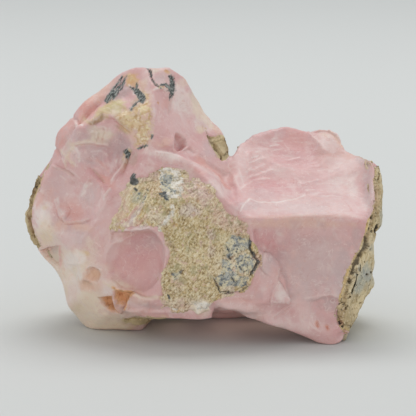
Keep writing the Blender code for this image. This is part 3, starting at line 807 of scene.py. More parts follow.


# Thin lines of paler or redder opal along healed cracks and edges; some are painted highlights on edges and
# painted shade in grooves and under ledges, as marked: colour, line, width, strength.
LINES = [
    (DEEP, [(150, 148), (165, 148), (178, 153), (190, 157), (200, 162)], 2.2, 0.4),
    (TAN, [(84, 117), (87, 122), (92, 123), (100, 117)], 1.8, 0.6),
    (OCHRE, [(106, 108), (112, 104)], 1.2, 0.4),
    (TAN, [(124, 320.5), (134, 319.5), (150, 319.5), (166, 318.5)], 2.8, 0.95),
    (BROWN, [(124, 323.5), (146, 323), (164, 321)], 1.0, 0.6),
    (BROWN, [(108, 113), (114, 116), (120, 115)], 1.0, 0.3),
    # the brown line under the vein's ledge is partly the vein's stain and partly painted shade under the ledge
    (BROWN, [(90, 124), (96, 122), (104, 116)], 1.3, 0.75),
    (BROWN, [(116, 119), (121, 123), (126, 127), (130, 133)], 1.3, 0.45),
    (MILK, [(76.5, 123.7), (82, 124.3)], 0.7, 0.8),
    (CREAM, [(72, 144), (82, 142.5), (94, 141), (106, 143)], 2.4, 0.65),
    (MAUVE, [(78, 148), (92, 147), (106, 149)], 1.6, 0.35),
    (MILK, [(128, 84), (132, 89), (134, 94)], 0.8, 0.9), (MILK, [(74, 119), (75, 127)], 0.8, 0.6),
    (LILAC, [(115, 152), (113, 162), (111, 172)], 1.6, 0.5),
    (CREAM, [(140, 107), (135, 112), (136, 116)], 1.4, 0.7),
    (PALE, [(153, 96), (153, 120), (152, 140)], 1.6, 0.7),
    (BROWN, [(131, 150), (127, 158), (124, 168)], 1.5, 0.5),
    (MILK, [(124, 156), (121, 167), (112, 181)], 0.9, 0.7),
    (MILK, [(74, 147), (79, 153), (79, 162)], 1.0, 0.6), (PEACH, [(71, 150), (70, 158), (73, 166)], 1.2, 0.5),
    (MILK, [(66, 146), (62, 154), (66, 164)], 0.9, 0.5), (BROWN, [(54, 168), (64, 169), (74, 174)], 0.8, 0.3),
    # the milky lines that follow on the block's top steps are painted highlights where the thin step edges
    # catch the light
    (MILK, [(240, 211), (246, 203), (250, 199), (258, 202.5), (274, 202.5), (292, 200.5), (304, 196)], 0.8,
        0.9),
    (MILK, [(246, 172), (256, 168), (265, 164)], 0.5, 0.4),
    (MILK, [(247, 178), (260, 173), (273, 169)], 0.5, 0.35),
    (MILK, [(242, 188), (250, 182), (258, 179), (270, 178)], 0.6, 0.45),
    (MILK, [(288, 158), (294, 156.5), (300, 155)], 0.6, 0.5),
    (MILK, [(298, 186), (308, 182), (318, 180)], 0.5, 0.4),
    (MILK, [(262, 176), (266, 172), (270, 167)], 0.5, 0.35),
    (MILK, [(252, 174), (258, 170), (264, 171)], 0.5, 0.5),
    (MILK, [(238, 170), (241, 178), (244, 184)], 0.7, 0.4),
    (MILK, [(318, 171), (326, 170), (334, 171)], 0.5, 0.4), (MILK, [(306, 190), (314, 189)], 0.5, 0.5),
    (MILK, [(244, 172), (252, 167)], 0.5, 0.5), (MILK, [(322, 197), (334, 196), (343, 197)], 0.5, 0.4),
    (DEEP, [(250, 181), (262, 176), (274, 175)], 1.2, 0.35),
    (DEEP, [(246, 175), (257, 171), (266, 167)], 1.0, 0.35),
    (MILK, [(249, 164), (258, 160), (266, 158)], 0.6, 0.6),
    (PALE, [(312, 132), (318, 141), (326, 148), (334, 153)], 1.0, 0.6),
    (PEACH, [(331, 131), (337, 137), (342, 147)], 1.4, 0.8), (MILK, [(276, 140), (284, 139)], 0.5, 0.7),
    (MILK, [(271, 144), (280, 143)], 0.5, 0.7), (MILK, [(274, 148), (284, 147)], 0.5, 0.6),
    (BROWN, [(357, 155), (364, 159), (371, 165)], 1.0, 0.7),
    (MILK, [(156, 154), (170, 155), (182, 160)], 1.2, 0.4),
    # the dark red and brown on the little hole's left wall are partly painted shade in it
    (DEEP, [(177, 134), (175.5, 143), (176, 150)], 1.4, 0.9),
    (BROWN, [(177, 138), (176, 144), (176, 149)], 0.7, 0.5),
    (MILK, [(153, 90), (160, 88), (168, 92)], 0.8, 0.8),
    (LILAC, [(297, 262), (304, 280), (310, 296)], 3.0, 0.3),
    (RED, [(200, 160), (215, 170), (230, 186)], 2.4, 0.8), (MILK, [(66, 168), (74, 172), (80, 178)], 1.0, 0.3),
    (MILK, [(89, 183), (84, 189), (82, 196)], 1.5, 0.8), (MILK, [(57, 199), (58, 207), (63, 214)], 2.0, 0.7),
    (MILK, [(110, 190), (105, 196), (104, 200)], 1.3, 0.6),
    (PALE, [(96, 220), (103, 208), (108, 198)], 1.4, 0.6),
    # the deep and brown lines in the groove down the lobe are painted shade in the groove
    (DEEP, [(88, 172), (98, 178), (106, 188)], 3.0, 0.7),
    (BROWN, [(92, 170), (99, 176), (104, 182)], 1.2, 0.35),
    (MILK, [(98, 128), (102, 127), (106, 129)], 0.8, 0.6), (MILK, [(88, 133), (93, 131)], 0.7, 0.6),
    (CREAM, [(92, 138), (97, 143), (105, 144)], 0.9, 0.7),
    (BROWN, [(95, 129), (99, 134), (97, 140)], 0.7, 0.3),
    (BROWN, [(116, 126), (121, 130), (127, 134)], 1.2, 0.4),
    (MAUVE, [(120, 136), (123, 144), (121, 153)], 2.0, 0.5),
    (MILK, [(92, 152), (101, 151), (108, 155)], 0.9, 0.4),
    (PALE, [(84, 157), (94, 161), (102, 168)], 1.6, 0.4), (RED, [(97, 160), (104, 166), (110, 174)], 1.6, 0.5),
    (MILK, [(117, 158), (115, 166)], 0.7, 0.5), (PALE, [(128, 136), (133, 142), (131, 150)], 1.3, 0.5),
    (MILK, [(61, 176), (67, 180)], 0.8, 0.4), (PALE, [(126, 155), (122, 165), (112, 183)], 1.3, 0.7),
    (DEEP, [(131, 154), (127, 164), (121, 176)], 1.8, 0.4),
    (BROWN, [(130, 151), (127, 157), (124, 163)], 2.0, 0.4),
    (DEEP, [(56, 203), (58, 215), (63, 222)], 1.4, 0.4), (CREAM, [(62, 150), (70, 158), (76, 165)], 1.3, 0.6),
    (CREAM, [(73, 146), (68, 156), (66, 166)], 1.2, 0.6),
    # the scar's top rim: a painted highlight along its edge and painted shade just under it
    (MILK, [(112, 228), (122, 227), (131, 231), (138, 228), (150, 227)], 1.3, 0.7),
    (BROWN, [(120, 236), (136, 234), (150, 233)], 2.4, 0.25),
    (CREAM, [(104, 283), (112, 288), (124, 291), (140, 297), (156, 297)], 1.6, 0.8),
    (RED, [(61.5, 266), (60.5, 255), (60, 246)], 1.1, 0.75), (MILK, [(302, 196), (318, 193)], 1.2, 0.3),
    (PALE, [(243, 177), (252, 166), (268, 156)], 0.9, 0.3), (MILK, [(273, 137.5), (279, 137)], 0.5, 0.6),
    (SALMON, [(316.8, 323), (318, 327)], 1.7, 0.9), (SALMON, [(327, 327), (328.2, 330)], 1.6, 0.9),
    (MILK, [(255, 152), (262, 151)], 0.5, 0.6), (MILK, [(251, 158), (258, 156)], 0.5, 0.6),
    (PALE, [(235, 176), (241, 190)], 1.0, 0.6), (PALE, [(300, 214), (345, 213), (362, 218)], 1.4, 0.5),
    (PALE, [(264, 247), (274, 256), (281, 266), (279, 281), (293, 301)], 1.5, 0.6),
    (MILK, [(306, 299), (318, 295), (331, 294), (343, 299)], 1.2, 0.4),
    (MAUVE, [(308, 301), (320, 298), (332, 297), (343, 302)], 1.4, 0.6),
    (PALE, [(150, 152), (172, 156), (196, 166), (220, 182)], 1.6, 0.6),
    (PALE, [(297, 302), (284, 309), (270, 319)], 1.4, 0.5),
    (RED, [(118, 286), (130, 290), (146, 296)], 1.0, 0.3),
    (RUST, [(121, 313), (116, 306), (112, 300)], 1.2, 0.4),
    (PALE, [(126, 318), (160, 320), (190, 320), (211, 318)], 1.6, 0.6),
    (DEEP, [(213, 300), (213, 310), (211, 317)], 2.2, 0.5),
]  # fmt: skip
lay_on(WASHES, LINES)

# Marks with crisp borders are kept as depth inside them, in mm, and cut out in the material.
NO_MARK = -4.0  # mm
IN_SIGHT = 0.3  # how much in view a point has to be to take marks


def mark_of(streaks, patches=(), holes=()):
    """How deep inside a mark each point lies: streaks with a width at each end, closed patches, oval holes."""
    mark = np.full(len(place), NO_MARK)
    for line, start_width, end_width in streaks:
        far, _, along = along_line(line)
        width = start_width + (end_width - start_width) * along
        mark = np.maximum(mark, (width / 2 - far) * UNIT)
    for outline in patches:
        mark = np.maximum(mark, outline_depth(outline) * UNIT)
    for middle, radii, turn in holes:
        mark = np.maximum(mark, (1 - round_reach(middle, radii, turn)) * min(radii) * UNIT)
    return np.where(in_view > IN_SIGHT, mark, NO_MARK)


def keep(mesh, name, values):
    """Keeps a value, or a set of three, for each point of a mesh."""
    kind, slot = ("FLOAT", "value") if values.ndim == 1 else ("FLOAT_VECTOR", "vector")
    layer = mesh.attributes.new(name, kind, "POINT")
    layer.data.foreach_set(slot, values.astype(np.float32).ravel())


# Manganese black in thin feathery plates.
black = mark_of(
    [
        ([(126, 76.5), (119, 86), (113, 94), (107, 101)], 1.5, 5),
        ([(122, 76.5), (115, 86), (109, 97)], 1.5, 4), ([(124, 80), (120, 89), (113, 98)], 1.5, 3.5),
        ([(130, 87), (135, 90), (141, 95)], 1.5, 6), ([(137, 84), (136.5, 89), (142, 98)], 2, 8),
        ([(136, 92), (142, 101)], 4, 5), ([(139, 100), (135, 105), (131, 110)], 3, 2.5),
        ([(147, 66), (149.5, 71), (151, 76)], 2, 3), ([(152, 79), (155, 83), (160, 89)], 1.4, 1.4),
        ([(161, 86), (165, 85), (169, 89)], 2.5, 5), ([(171, 93), (170, 99)], 2.5, 1),
        ([(138, 149), (143, 147), (147, 145)], 2.5, 2), ([(125, 151), (128, 154), (127, 157)], 5, 4),
        ([(152, 135), (151, 139)], 2, 1.5), ([(134, 174.5), (132.5, 178), (134, 182)], 3.5, 6),
        ([(134.5, 188.5), (137, 191)], 2.2, 2.4),
    ],
    [
        [(168, 76), (171, 74), (175, 77), (176, 83), (175, 90), (173, 95), (170, 94), (168, 89), (169, 82)],
    ],
)  # fmt: skip
# The gritty part of the tan vein that runs down from the top.
stain = mark_of(
    [
        ([(129, 76), (135, 82), (140, 89), (148, 97)], 4, 5), ([(158, 87), (166, 89)], 3, 2),
        ([(126, 152), (122, 160)], 5, 2),
    ],
    [
        [(116, 116), (124, 110), (132, 107), (139, 106), (147, 98), (151, 103), (152, 116), (153, 130),
            (151, 140), (144, 148), (137, 149), (132, 146), (137, 139), (133, 131), (126, 126), (119, 121)],
    ],
)  # fmt: skip
# Rust in the two pits of the foot, and a few specks.
rust = mark_of(
    [
        ([(158, 102), (158.5, 103)], 1.6, 1.6), ([(165.5, 70.5), (167, 71.5)], 1.6, 1.2),
        ([(113, 288), (122, 290), (134, 294), (128, 298)], 3, 3), ([(181, 317), (183, 318)], 1, 1),
    ],
    [
        [(98, 297), (113, 296), (113, 303), (121, 313), (110, 312), (103, 306)],
        [(115, 290), (131, 290), (134, 294), (128, 301), (124, 311), (117, 304), (114, 297)],
    ],
)  # fmt: skip

# The block's top break, where the ground shows shell streaks.
TOP_BREAK = [
    (240, 215), (232, 170), (240, 148), (262, 132), (286, 126), (320, 130), (346, 152), (376, 168), (380, 200),
    (364, 218), (250, 221),
]  # fmt: skip
keep(body, "tint", tint)
keep(body, "marks", np.stack([black, stain, rust], axis=1))
keep(body, "streaky", in_view * np.clip(fade(outline_depth(TOP_BREAK), -2, 10), 0, 1))
keep(body, "wear_and_shade", wear_and_shade)

bpy.ops.object.shade_smooth()
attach(stone, "root")
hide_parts("opal")


class Nodes:
    """Builds one material's nodes."""

    def __init__(self, name):
        self.material = bpy.data.materials.new(name)
        self.material.use_nodes = True
        self.tree = self.material.node_tree
        self.shader = self.tree.nodes["Principled BSDF"]
        self.spot = self.place()

    def add(self, kind, **values):
        node = self.tree.nodes.new(kind)
        for key, value in values.items():
            setattr(node, key, value)
        return node

    def join(self, source, socket):
        if hasattr(source, "is_output") or isinstance(source, bpy.types.NodeSocket):
            self.tree.links.new(source, socket)
        else:
            socket.default_value = source

    def kept(self, name, output="Fac"):
        return self.add("ShaderNodeAttribute", attribute_name=name).outputs[output]

    def three_marks(self):
        split = self.add("ShaderNodeSeparateXYZ")
        self.join(self.kept("marks", "Vector"), split.inputs[0])
        return split.outputs

    def place(self, stretch=(1, 1, 1), turn=(0, 0, 0)):
        """The stone's own coordinates, in mm, turned and then squeezed."""
        source = self.add("ShaderNodeTexCoord").outputs["Object"]
        mapping = self.add("ShaderNodeMapping", vector_type="TEXTURE")
        mapping.inputs["Scale"].default_value = [0.001 / s for s in stretch]
        mapping.inputs["Rotation"].default_value = turn
        self.join(source, mapping.inputs["Vector"])
        return mapping.outputs["Vector"]

    def noise(self, size, detail, rough, twist=0.0, place=None):
        """Noise in lumps of the given size in mm."""
        node = self.add("ShaderNodeTexNoise")
        self.join(place or self.spot, node.inputs["Vector"])
        node.inputs["Scale"].default_value = 1 / size
        node.inputs["Detail"].default_value = detail
        node.inputs["Roughness"].default_value = rough
        node.inputs["Distortion"].default_value = twist
        return node.outputs["Fac"]

    def math(self, operation, first, second=0.0):
        node = self.add("ShaderNodeMath", operation=operation)
        self.join(first, node.inputs[0])
        self.join(second, node.inputs[1])
        return node.outputs[0]

    def ramp(self, value, low, high, out_low=0.0, out_high=1.0):
        node = self.add("ShaderNodeMapRange", interpolation_type="SMOOTHSTEP")
        self.join(value, node.inputs["Value"])
        for name, number in zip(("From Min", "From Max", "To Min", "To Max"), (low, high, out_low, out_high)):
            node.inputs[name].default_value = number
        return node.outputs["Result"]

    def mix(self, share, first, second, kind="MIX"):
        node = self.add("ShaderNodeMix", data_type="RGBA", blend_type=kind)
        for source, slot in ((share, 0), (first, 6), (second, 7)):
            if isinstance(source, tuple):
                source = (*source, 1)
            self.join(source, node.inputs[slot])
        return node.outputs[2]

    def shade(self, coat, colour):
        return self.mix(1.0, coat, colour, "MULTIPLY")

    def over(self, coat, colour, value, low, high, share=1.0):
        """Lays a colour over the coat, up to a share, as a value goes from low to high."""
        return self.mix(self.ramp(value, low, high, 0, share), coat, colour)

    def waver(self, noise, depth):
        """Noise as a wavering of this many mm about 0."""
        return self.math("MULTIPLY", self.math("SUBTRACT", noise, 0.5), depth)

    def inside(self, mark, waver, amount, low, high, share=1.0):
        """A share inside a mark, whose edge, from low to high in mm, wavers by an amount."""
        edge = self.math("ADD", mark, self.math("MULTIPLY", waver, amount))
        return self.ramp(edge, low, high, 0, share)

    def bump(self, height, strength, distance, under=None):
        node = self.add("ShaderNodeBump")
        node.inputs["Strength"].default_value = strength
        node.inputs["Distance"].default_value = distance
        self.join(height, node.inputs["Height"])
        if under is not None:
            self.join(under, node.inputs["Normal"])
        return node.outputs["Normal"]


# The mottling in the opal, and what its marks are coloured with.
FLECK = (0.80, 0.70, 0.66)
WORN_AND_LIT_EDGE = (0.76, 0.62, 0.58)
PEACH_MOTTLE = (0.70, 0.44, 0.36)
MAUVE_MOTTLE = (0.62, 0.45, 0.50)
CLOUD_SHADE = (0.92, 0.78, 0.78)
MOTTLE_SHADE = (0.86, 0.66, 0.66)
CREASE_SHADE = (0.84, 0.66, 0.62)
CRACK_SHADE = (0.84, 0.62, 0.58)
VEIN_TAN = (0.71, 0.54, 0.35)
VEIN_BROWN = (0.56, 0.36, 0.19)
VEIN_CREAM = (0.84, 0.74, 0.55)
VEIN_DARK = (0.46, 0.33, 0.18)
VEIN_STRAW = (0.74, 0.64, 0.38)
BRIGHT_RUST = (0.74, 0.42, 0.22)
DARK_RUST = (0.50, 0.24, 0.10)
BLACK_PLATE = (0.05, 0.058, 0.056)
GREY_PLATE = (0.33, 0.36, 0.34)

opal = Nodes("pink_opal")
black_mark, stain_mark, rust_mark = opal.three_marks()
fine_grain = opal.noise(0.5, 4, 0.65)
ragged = opal.waver(opal.noise(0.9, 4, 0.6), 1.0)
feather = opal.waver(opal.noise(0.7, 4, 0.65, place=opal.place((3.0, 1, 0.7), (0, 0.55, 0))), 1.7)

skin = opal.kept("tint", "Color")
# milky clouding and fine mottling within the opal
skin = opal.over(skin, MILK, opal.noise(4.5, 5, 0.6, 0.6), 0.5, 0.72, 0.32)
skin = opal.over(skin, opal.shade(skin, CLOUD_SHADE), opal.noise(2.4, 5, 0.62, 0.4), 0.52, 0.75, 0.4)
skin = opal.over(skin, MILK, fine_grain, 0.56, 0.76, 0.36)
skin = opal.over(skin, PEACH_MOTTLE, opal.noise(1.5, 4, 0.65), 0.56, 0.72, 0.3)
skin = opal.over(skin, MAUVE_MOTTLE, opal.noise(1.9, 4, 0.65), 0.57, 0.74, 0.3)
skin = opal.over(skin, opal.shade(skin, MOTTLE_SHADE), opal.noise(0.45, 3, 0.6), 0.56, 0.74, 0.3)
# worn ridges are paler, partly as a painted highlight, creases are darkened with painted shade, and small milky
# flecks lie everywhere
wear_and_shade_here = opal.math("ADD", opal.kept("wear_and_shade"), opal.math("MULTIPLY", ragged, 0.08))
skin = opal.over(skin, WORN_AND_LIT_EDGE, wear_and_shade_here, 0.03, 0.14, 0.32)
skin = opal.over(skin, opal.shade(skin, CREASE_SHADE), wear_and_shade_here, -0.03, -0.14, 0.45)
skin = opal.over(skin, FLECK, opal.noise(0.7, 3, 0.7), 0.64, 0.7, 0.4)
# thin streaks along the block's top
along_top = opal.noise(1.0, 4, 0.62, place=opal.place((0.14, 0.9, 1.6), (0, 0.07, 0.12)))
streak_share = opal.math("MULTIPLY", opal.ramp(along_top, 0.5, 0.66), opal.kept("streaky"))
skin = opal.mix(opal.math("MULTIPLY", streak_share, 0.2), skin, MILK)
# healed cracks: thin, winding, some pale and some red
seam = opal.math("ABSOLUTE", opal.math("SUBTRACT", opal.noise(8.0, 4, 0.5, 0.6), 0.5))
skin = opal.over(skin, FLECK, seam, 0.006, 0.0, 0.4)
seam = opal.math("ABSOLUTE", opal.math("SUBTRACT", opal.noise(6.5, 4, 0.5, 0.9), 0.44))
skin = opal.over(skin, opal.shade(skin, CRACK_SHADE), seam, 0.008, 0.0, 0.4)
# the tan vein
vein = opal.mix(opal.ramp(opal.noise(1.5, 5, 0.68), 0.42, 0.58), VEIN_TAN, VEIN_BROWN)
vein = opal.over(vein, VEIN_CREAM, opal.noise(0.95, 5, 0.68), 0.5, 0.6, 0.95)
vein = opal.over(vein, VEIN_DARK, opal.noise(2.2, 5, 0.68), 0.56, 0.66, 0.6)
vein = opal.over(vein, skin, opal.noise(1.9, 5, 0.68, 0.5), 0.5, 0.58, 0.85)
vein = opal.over(vein, VEIN_STRAW, opal.noise(3.2, 4, 0.66, 0.3), 0.5, 0.64, 0.5)
stain_share = opal.inside(stain_mark, ragged, 3.6, -0.4, 0.9)
skin = opal.mix(stain_share, skin, vein)
# rust
rust_share = opal.inside(rust_mark, ragged, 0.9, -0.3, 0.3)
rusty = opal.mix(opal.ramp(opal.noise(1.4, 4, 0.6), 0.42, 0.66), BRIGHT_RUST, DARK_RUST)
skin = opal.mix(opal.math("MULTIPLY", rust_share, 0.9), skin, rusty)
# manganese black
black_share = opal.inside(black_mark, feather, 1.0, -0.16, 0.2)
needles = opal.noise(0.8, 3, 0.6, place=opal.place((2.2, 1.5, 0.5), (0, 0.55, 0)))
sooty = opal.mix(opal.ramp(needles, 0.42, 0.62), BLACK_PLATE, GREY_PLATE)
skin = opal.mix(black_share, skin, sooty)
opal.join(skin, opal.shader.inputs["Base Color"])

# the opal has a waxy shine, and its marks are matt
MATT = 0.85
rough_share = opal.math("MAXIMUM", stain_share, opal.math("MAXIMUM", black_share, rust_share))
rough_mix = opal.add("ShaderNodeMix", data_type="FLOAT")
opal.join(rough_share, rough_mix.inputs[0])
opal.join(opal.ramp(opal.noise(3.0, 4, 0.6), 0.3, 0.7, 0.38, 0.52), rough_mix.inputs[2])
opal.join(MATT, rough_mix.inputs[3])
opal.join(rough_mix.outputs[0], opal.shader.inputs["Roughness"])

swell = opal.bump(opal.noise(1.6, 5, 0.6), 0.35, 0.00025)
grit = opal.math("MULTIPLY", fine_grain, opal.ramp(rough_share, 0, 1, 0.25, 1.6))
opal.join(opal.bump(grit, 0.5, 0.0002, swell), opal.shader.inputs["Normal"])
opal.shader.inputs["Subsurface Weight"].default_value = 0.15
opal.shader.inputs["Subsurface Radius"].default_value = (1.0, 0.55, 0.45)
opal.shader.inputs["Subsurface Scale"].default_value = 0.0012
opal.shader.inputs["IOR"].default_value = 1.45
body.materials.clear()
body.materials.append(opal.material)

# ---------------------------------------------------------------------------------------------------------
# The host rock: a crust of the tan, gritty volcanic rock the opal filled, still stuck to its best face and to
# its back. It is a closed shell let into the opal, so that its ragged edge is where the two surfaces cross.
# ---------------------------------------------------------------------------------------------------------
ROCK_SINK = 1.5  # mm, how deep the shell goes into the opal
OUTSIDE = -9  # mm, the depth of faces that no shell wants
KEPT_UP = 0.3  # mm above the table, the lowest that a shell reaches
BURIED = -0.6  # mm, the lift below which a shell's top lies inside the opal
CRUST_AREA = 1500  # square mm
BACK_REACH = 24.6  # mm, past which the crust on the back was rubbed down


def shell_of(name, points, normals, mesh, wanted, sink):
    """A closed shell over the wanted faces: its top lies on their points, its underside sinks below them."""
    faces = [tuple(f.vertices) for f, want in zip(mesh.polygons, wanted) if want]
    used = sorted({v for face in faces for v in face})
    number = {v: index for index, v in enumerate(used)}
    faces = [tuple(number[v] for v in face) for face in faces]
    top = points[used]
    count = len(used)
    under = top - normals[used] * sink
    directed = {(a, b) for face in faces for a, b in zip(face, face[1:] + face[:1])}
    walls = [(b, a, a + count, b + count) for a, b in directed if (b, a) not in directed]
    bottoms = [tuple(v + count for v in reversed(face)) for face in faces]
    shell = bpy.data.meshes.new(name)
    shell.from_pydata(np.concatenate([top, under]) / 1000, [], faces + bottoms + walls)
    refine = bmesh.new()
    refine.from_mesh(shell)
    whole = [e for e in refine.edges if all(v.index < count or v.index >= 2 * count for v in e.verts)]
    bmesh.ops.subdivide_edges(refine, edges=whole, cuts=1, use_grid_fill=True)
    bmesh.ops.triangulate(refine, faces=[f for f in refine.faces if len(f.verts) > 4])
    refine.to_mesh(shell)
    refine.free()
    piece = bpy.data.objects.new(name, shell)
    bpy.context.scene.collection.objects.link(piece)
    is_top = np.ones(len(shell.vertices), bool)
    is_top[count : 2 * count] = False
    return piece, is_top


def face_values(mesh, values):
    """The least of the values at each face's corners."""
    sizes = np.zeros(len(mesh.polygons), int)
    mesh.polygons.foreach_get("loop_total", sizes)
    corners = np.zeros(len(mesh.loops), int)
    mesh.loops.foreach_get("vertex_index", corners)
    return np.minimum.reduceat(values[corners], np.concatenate([[0], np.cumsum(sizes)[:-1]]))


SPARE_WEIGHTS = (0.9, 0.6)


def thin(piece, share, *spare):
    """Joins faces until a share is left: most at the first spare points, fewer at the next, none elsewhere."""
    group = piece.vertex_groups.new(name="spare")
    for weight, chosen in zip(SPARE_WEIGHTS, spare):
        group.add([int(index) for index in np.flatnonzero(chosen)], weight, "REPLACE")
    fewer = piece.modifiers.new("fewer", "DECIMATE")
    fewer.ratio = share
    fewer.vertex_group = "spare"
    fewer.vertex_group_factor = 20
    bpy.context.view_layer.objects.active = piece
    bpy.ops.object.modifier_apply(modifier="fewer")
    piece.vertex_groups.clear()


def finish_shell(piece, material, share):
    """Gives a shell its material and soft shading, and joins the faces that lie inside the opal."""
    piece.data.materials.append(material)
    for polygon in piece.data.polygons:
        polygon.use_smooth = True
    thin(piece, share, ~on_top | (lift < BURIED))


def matched(mesh):
    """A mesh's points, edges and normals, and which of the skin's points is nearest to each of its own."""
    points, edges = points_of(mesh), edges_of(mesh)
    nearest_ones = np.array([skin_tree.find(point)[1] for point in points])
    return points, edges, smooth_normals(mesh, edges, 2), nearest_ones


# The opal's own skin, which the next pieces are built on.
skin_points, skin_normals, skin_view = place, smooth_normals(body, joins, 3), in_view
skin_tree = tree_of(skin_points)

wanted = face_values(body, np.where(place[:, 2] > 1.5, rock_depth, OUTSIDE)) > -1.3
rock, on_top = shell_of("host_rock", place, skin_normals, body, wanted, ROCK_SINK)
crust = rock.data
place, joins, normal, match = matched(crust)
in_view = skin_view[match]
at = mark_place(place)
depth = rock_depth_of(place, in_view)
seat = rock_sunk[match]
at = mark_place(place + normal * (0.2 + seat)[:, None])  # where its own top will show
rag = 0.7 * grain(place, 2.2, 41) + 0.5 * grain(place, 0.9, 42) + 0.25 * grain(place, 0.4, 43)
rise = fade(depth + rag * fade(2.4 - depth, 0, 1.2), -0.7, 0.7)
# thin in places, so that the opal under it shows through
SPARSE = [
    (1.3, (206, 192), (28, 22), 35, 0.9),
    (1.2, (236, 222), (20, 12), 30, 0.7),
    (1.2, (147, 176), (14, 9), -10, 0.9),
    (1.2, (138, 216), (20, 10), -35, 0.8),
    (1.2, (165, 250), (5, 16), 0, 0.5),
]
sparse = np.zeros(len(place))
for rim, middle, radii, turn, strength in SPARSE:
    sparse += fade(rim - round_reach(middle, radii, turn), 0, 0.8) * strength
sparse = np.clip(sparse, 0, 1) * in_view
lumps = 0.45 * grain(place, 4.2, 44) + 0.40 * grain(place, 2.0, 45)
wander = three_grains(place, 1.2, (46, 47, 48)) * 0.4
first, second, number = nearest(place + wander, scatter(place[on_top], 1.15, 49, CRUST_AREA))
grain_height = np.random.default_rng(50).uniform(0.0, 1.0, number.max() + 1)[number]
grains = 0.5 * fade(second - first, 0.0, 0.55) * grain_height - 0.15
grit = 0.24 * grain(place, 0.9, 51) + 0.13 * grain(place, 0.5, 52) + 0.06 * grain(place, 0.28, 53)
# smooth at the left end, and where the white lies at the foot
smooth_end = fade(1.3 - round_reach((125, 202), (15, 30), 12), 0, 0.6)
smooth_foot = fade(1.3 - round_reach((201, 307), (10, 7)), 0, 0.6)
gritty = 1 - 0.85 * in_view * np.maximum(smooth_end, smooth_foot)
bold = 0.65 + 0.35 * in_view
lift = -1.0 + rise * (1.25 + seat + bold * lumps + gritty * (grains + grit))
lift -= rise * sparse * (0.45 + 0.35 * grain(place, 1.3, 54))
# its swells, its ridges and the steps over the dark plates
CRUST_RELIEF = [
    (bowl, (238, 262), (26, 34), -0.35, 20),
    (bowl, (190, 262), (18, 22), 0.4),
    (rib, [(166, 196), (172, 192), (178, 189)], 0.5, 1.4),
    (rib, [(140, 206), (132, 215), (122, 224)], -0.45, 2.0),
    (rib, [(149, 213), (142, 219), (134, 227)], -0.4, 1.8),
    (rib, [(136, 209), (129, 219)], 0.3, 1.2),
    (step, [(226, 262), (235, 256), (245, 250), (253, 254)], 0.45, 8),
    (step, [(218, 280), (228, 272), (238, 275), (250, 272)], 0.35, 8),
]
for shape, where, *sizes in CRUST_RELIEF:
    lift += rise * in_view * shape(where, *sizes)
# thin cracks where the dark plates end
RIGHT_CRACK = [(250, 239), (250.5, 249), (254, 255), (257, 261), (255, 269), (250, 276)]
LOWER_CRACK = [(213, 277), (217, 284), (220, 292), (232, 293), (241, 291.5), (247, 286)]
for line in (RIGHT_CRACK, LOWER_CRACK):
    lift += rib(line, -0.6, 1.0, 0.05) * in_view
place = place + normal * np.where(on_top, lift, 0)[:, None]
place[:, 1] -= 0.6 * np.maximum(place[:, 1] - BACK_REACH, 0)
place[:, 2] = np.maximum(place[:, 2], KEPT_UP)
put_points(crust, place)

# Its colours: olive tan, redder to the upper right, cream where it is bare and broken.
SAND = (0.60, 0.475, 0.26)
STRAW = (0.74, 0.62, 0.38)
PINK_SAND = (0.70, 0.50, 0.40)
GREEN_GREY = (0.42, 0.44, 0.36)
CHALK = (0.92, 0.85, 0.76)
tint = np.tile(np.array(SAND), (len(place), 1))
mix_in(STRAW, 0.6 * fade(grain(place, 6, 55) + 0.5 * grain(place, 2.5, 56), -0.2, 0.7))
mix_in(PINK_SAND, 0.6 * (1 - in_view) * fade(grain(place, 8, 57), 0.0, 0.6))
ROCK_WASHES = [
    (STRAW, (198, 262), (26, 30), 0, 0.6), (SAND, (178, 285), (20, 20), 0, 0.5),
    (OLIVE, (186, 240), (18, 12), 0, 0.35), (TAN, (120, 205), (12, 34), 12, 0.8),
    (CREAM, (124, 196), (9, 26), 10, 0.5), (PEACH, (119, 208), (10, 30), 12, 0.6),
    (PEACH, (150, 190), (20, 16), 0, 0.3), (TAN, (140, 200), (12, 20), 0, 0.5),
    (OLIVE, (150, 200), (10, 12), 0, 0.4), (PALE, (148, 174), (14, 10), -10, 0.85),
    (PINK_SAND, (206, 190), (26, 22), 35, 0.8), (PALE, (196, 184), (16, 12), 20, 0.75),
    (PALE, (187, 170), (14, 6), 10, 0.85), (MILK, (188, 170), (10, 6), 0, 0.5),
    (LILAC, (188, 210), (9, 8), 0, 0.5), (MILK, (188, 210), (8, 7), 0, 0.4),
    (PINK_SAND, (232, 220), (24, 12), 30, 0.85), (PALE, (206, 196), (10, 12), 20, 0.5),
    (PALE, (128, 221), (10, 7), -30, 0.8), (LILAC, (136, 213), (4, 12), 35, 0.6),
    (OCHRE, (140, 214), (6, 8), 30, 0.85), (PEACH, (138, 222), (5, 6), 30, 0.7),
    (CREAM, (152, 216), (8, 10), 20, 0.7), (GREEN_GREY, (137, 197), (7, 6), 0, 0.6),
    (PALE, (150, 172), (9, 6), 0, 0.6), (PINK_SAND, (165, 250), (5, 20), 0, 0.8),
    (PEACH, (160, 290), (5, 16), 0, 0.5), (CREAM, (182, 304), (30, 7), 0, 0.7),
    (CHALK, (203, 307), (11, 9), 0, 1.0), (PEACH, (176, 308), (20, 5), 0, 0.4),
    (PEACH, (206, 312), (7, 3), 0, 0.5), (OCHRE, (216, 298), (14, 4), -10, 0.7),
    (CREAM, (234, 264), (16, 26), 20, 0.6), (CREAM, (228, 288), (9, 8), 0, 0.5),
    (MILK, (228, 288), (8, 8), 0, 0.35), (CREAM, (176, 288), (9, 8), 0, 0.5),
    (MILK, (163, 222), (8, 8), 0, 0.35), (PEACH, (257, 268), (5, 20), -10, 0.9),
    (OCHRE, (252, 284), (5, 6), 0, 0.4), (LILAC, (212, 234), (4, 5), 0, 0.6),
    (LILAC, (212, 250), (5, 6), 0, 0.5), (TAN, (150, 178), (5, 6), 0, 0.4),
]  # fmt: skip
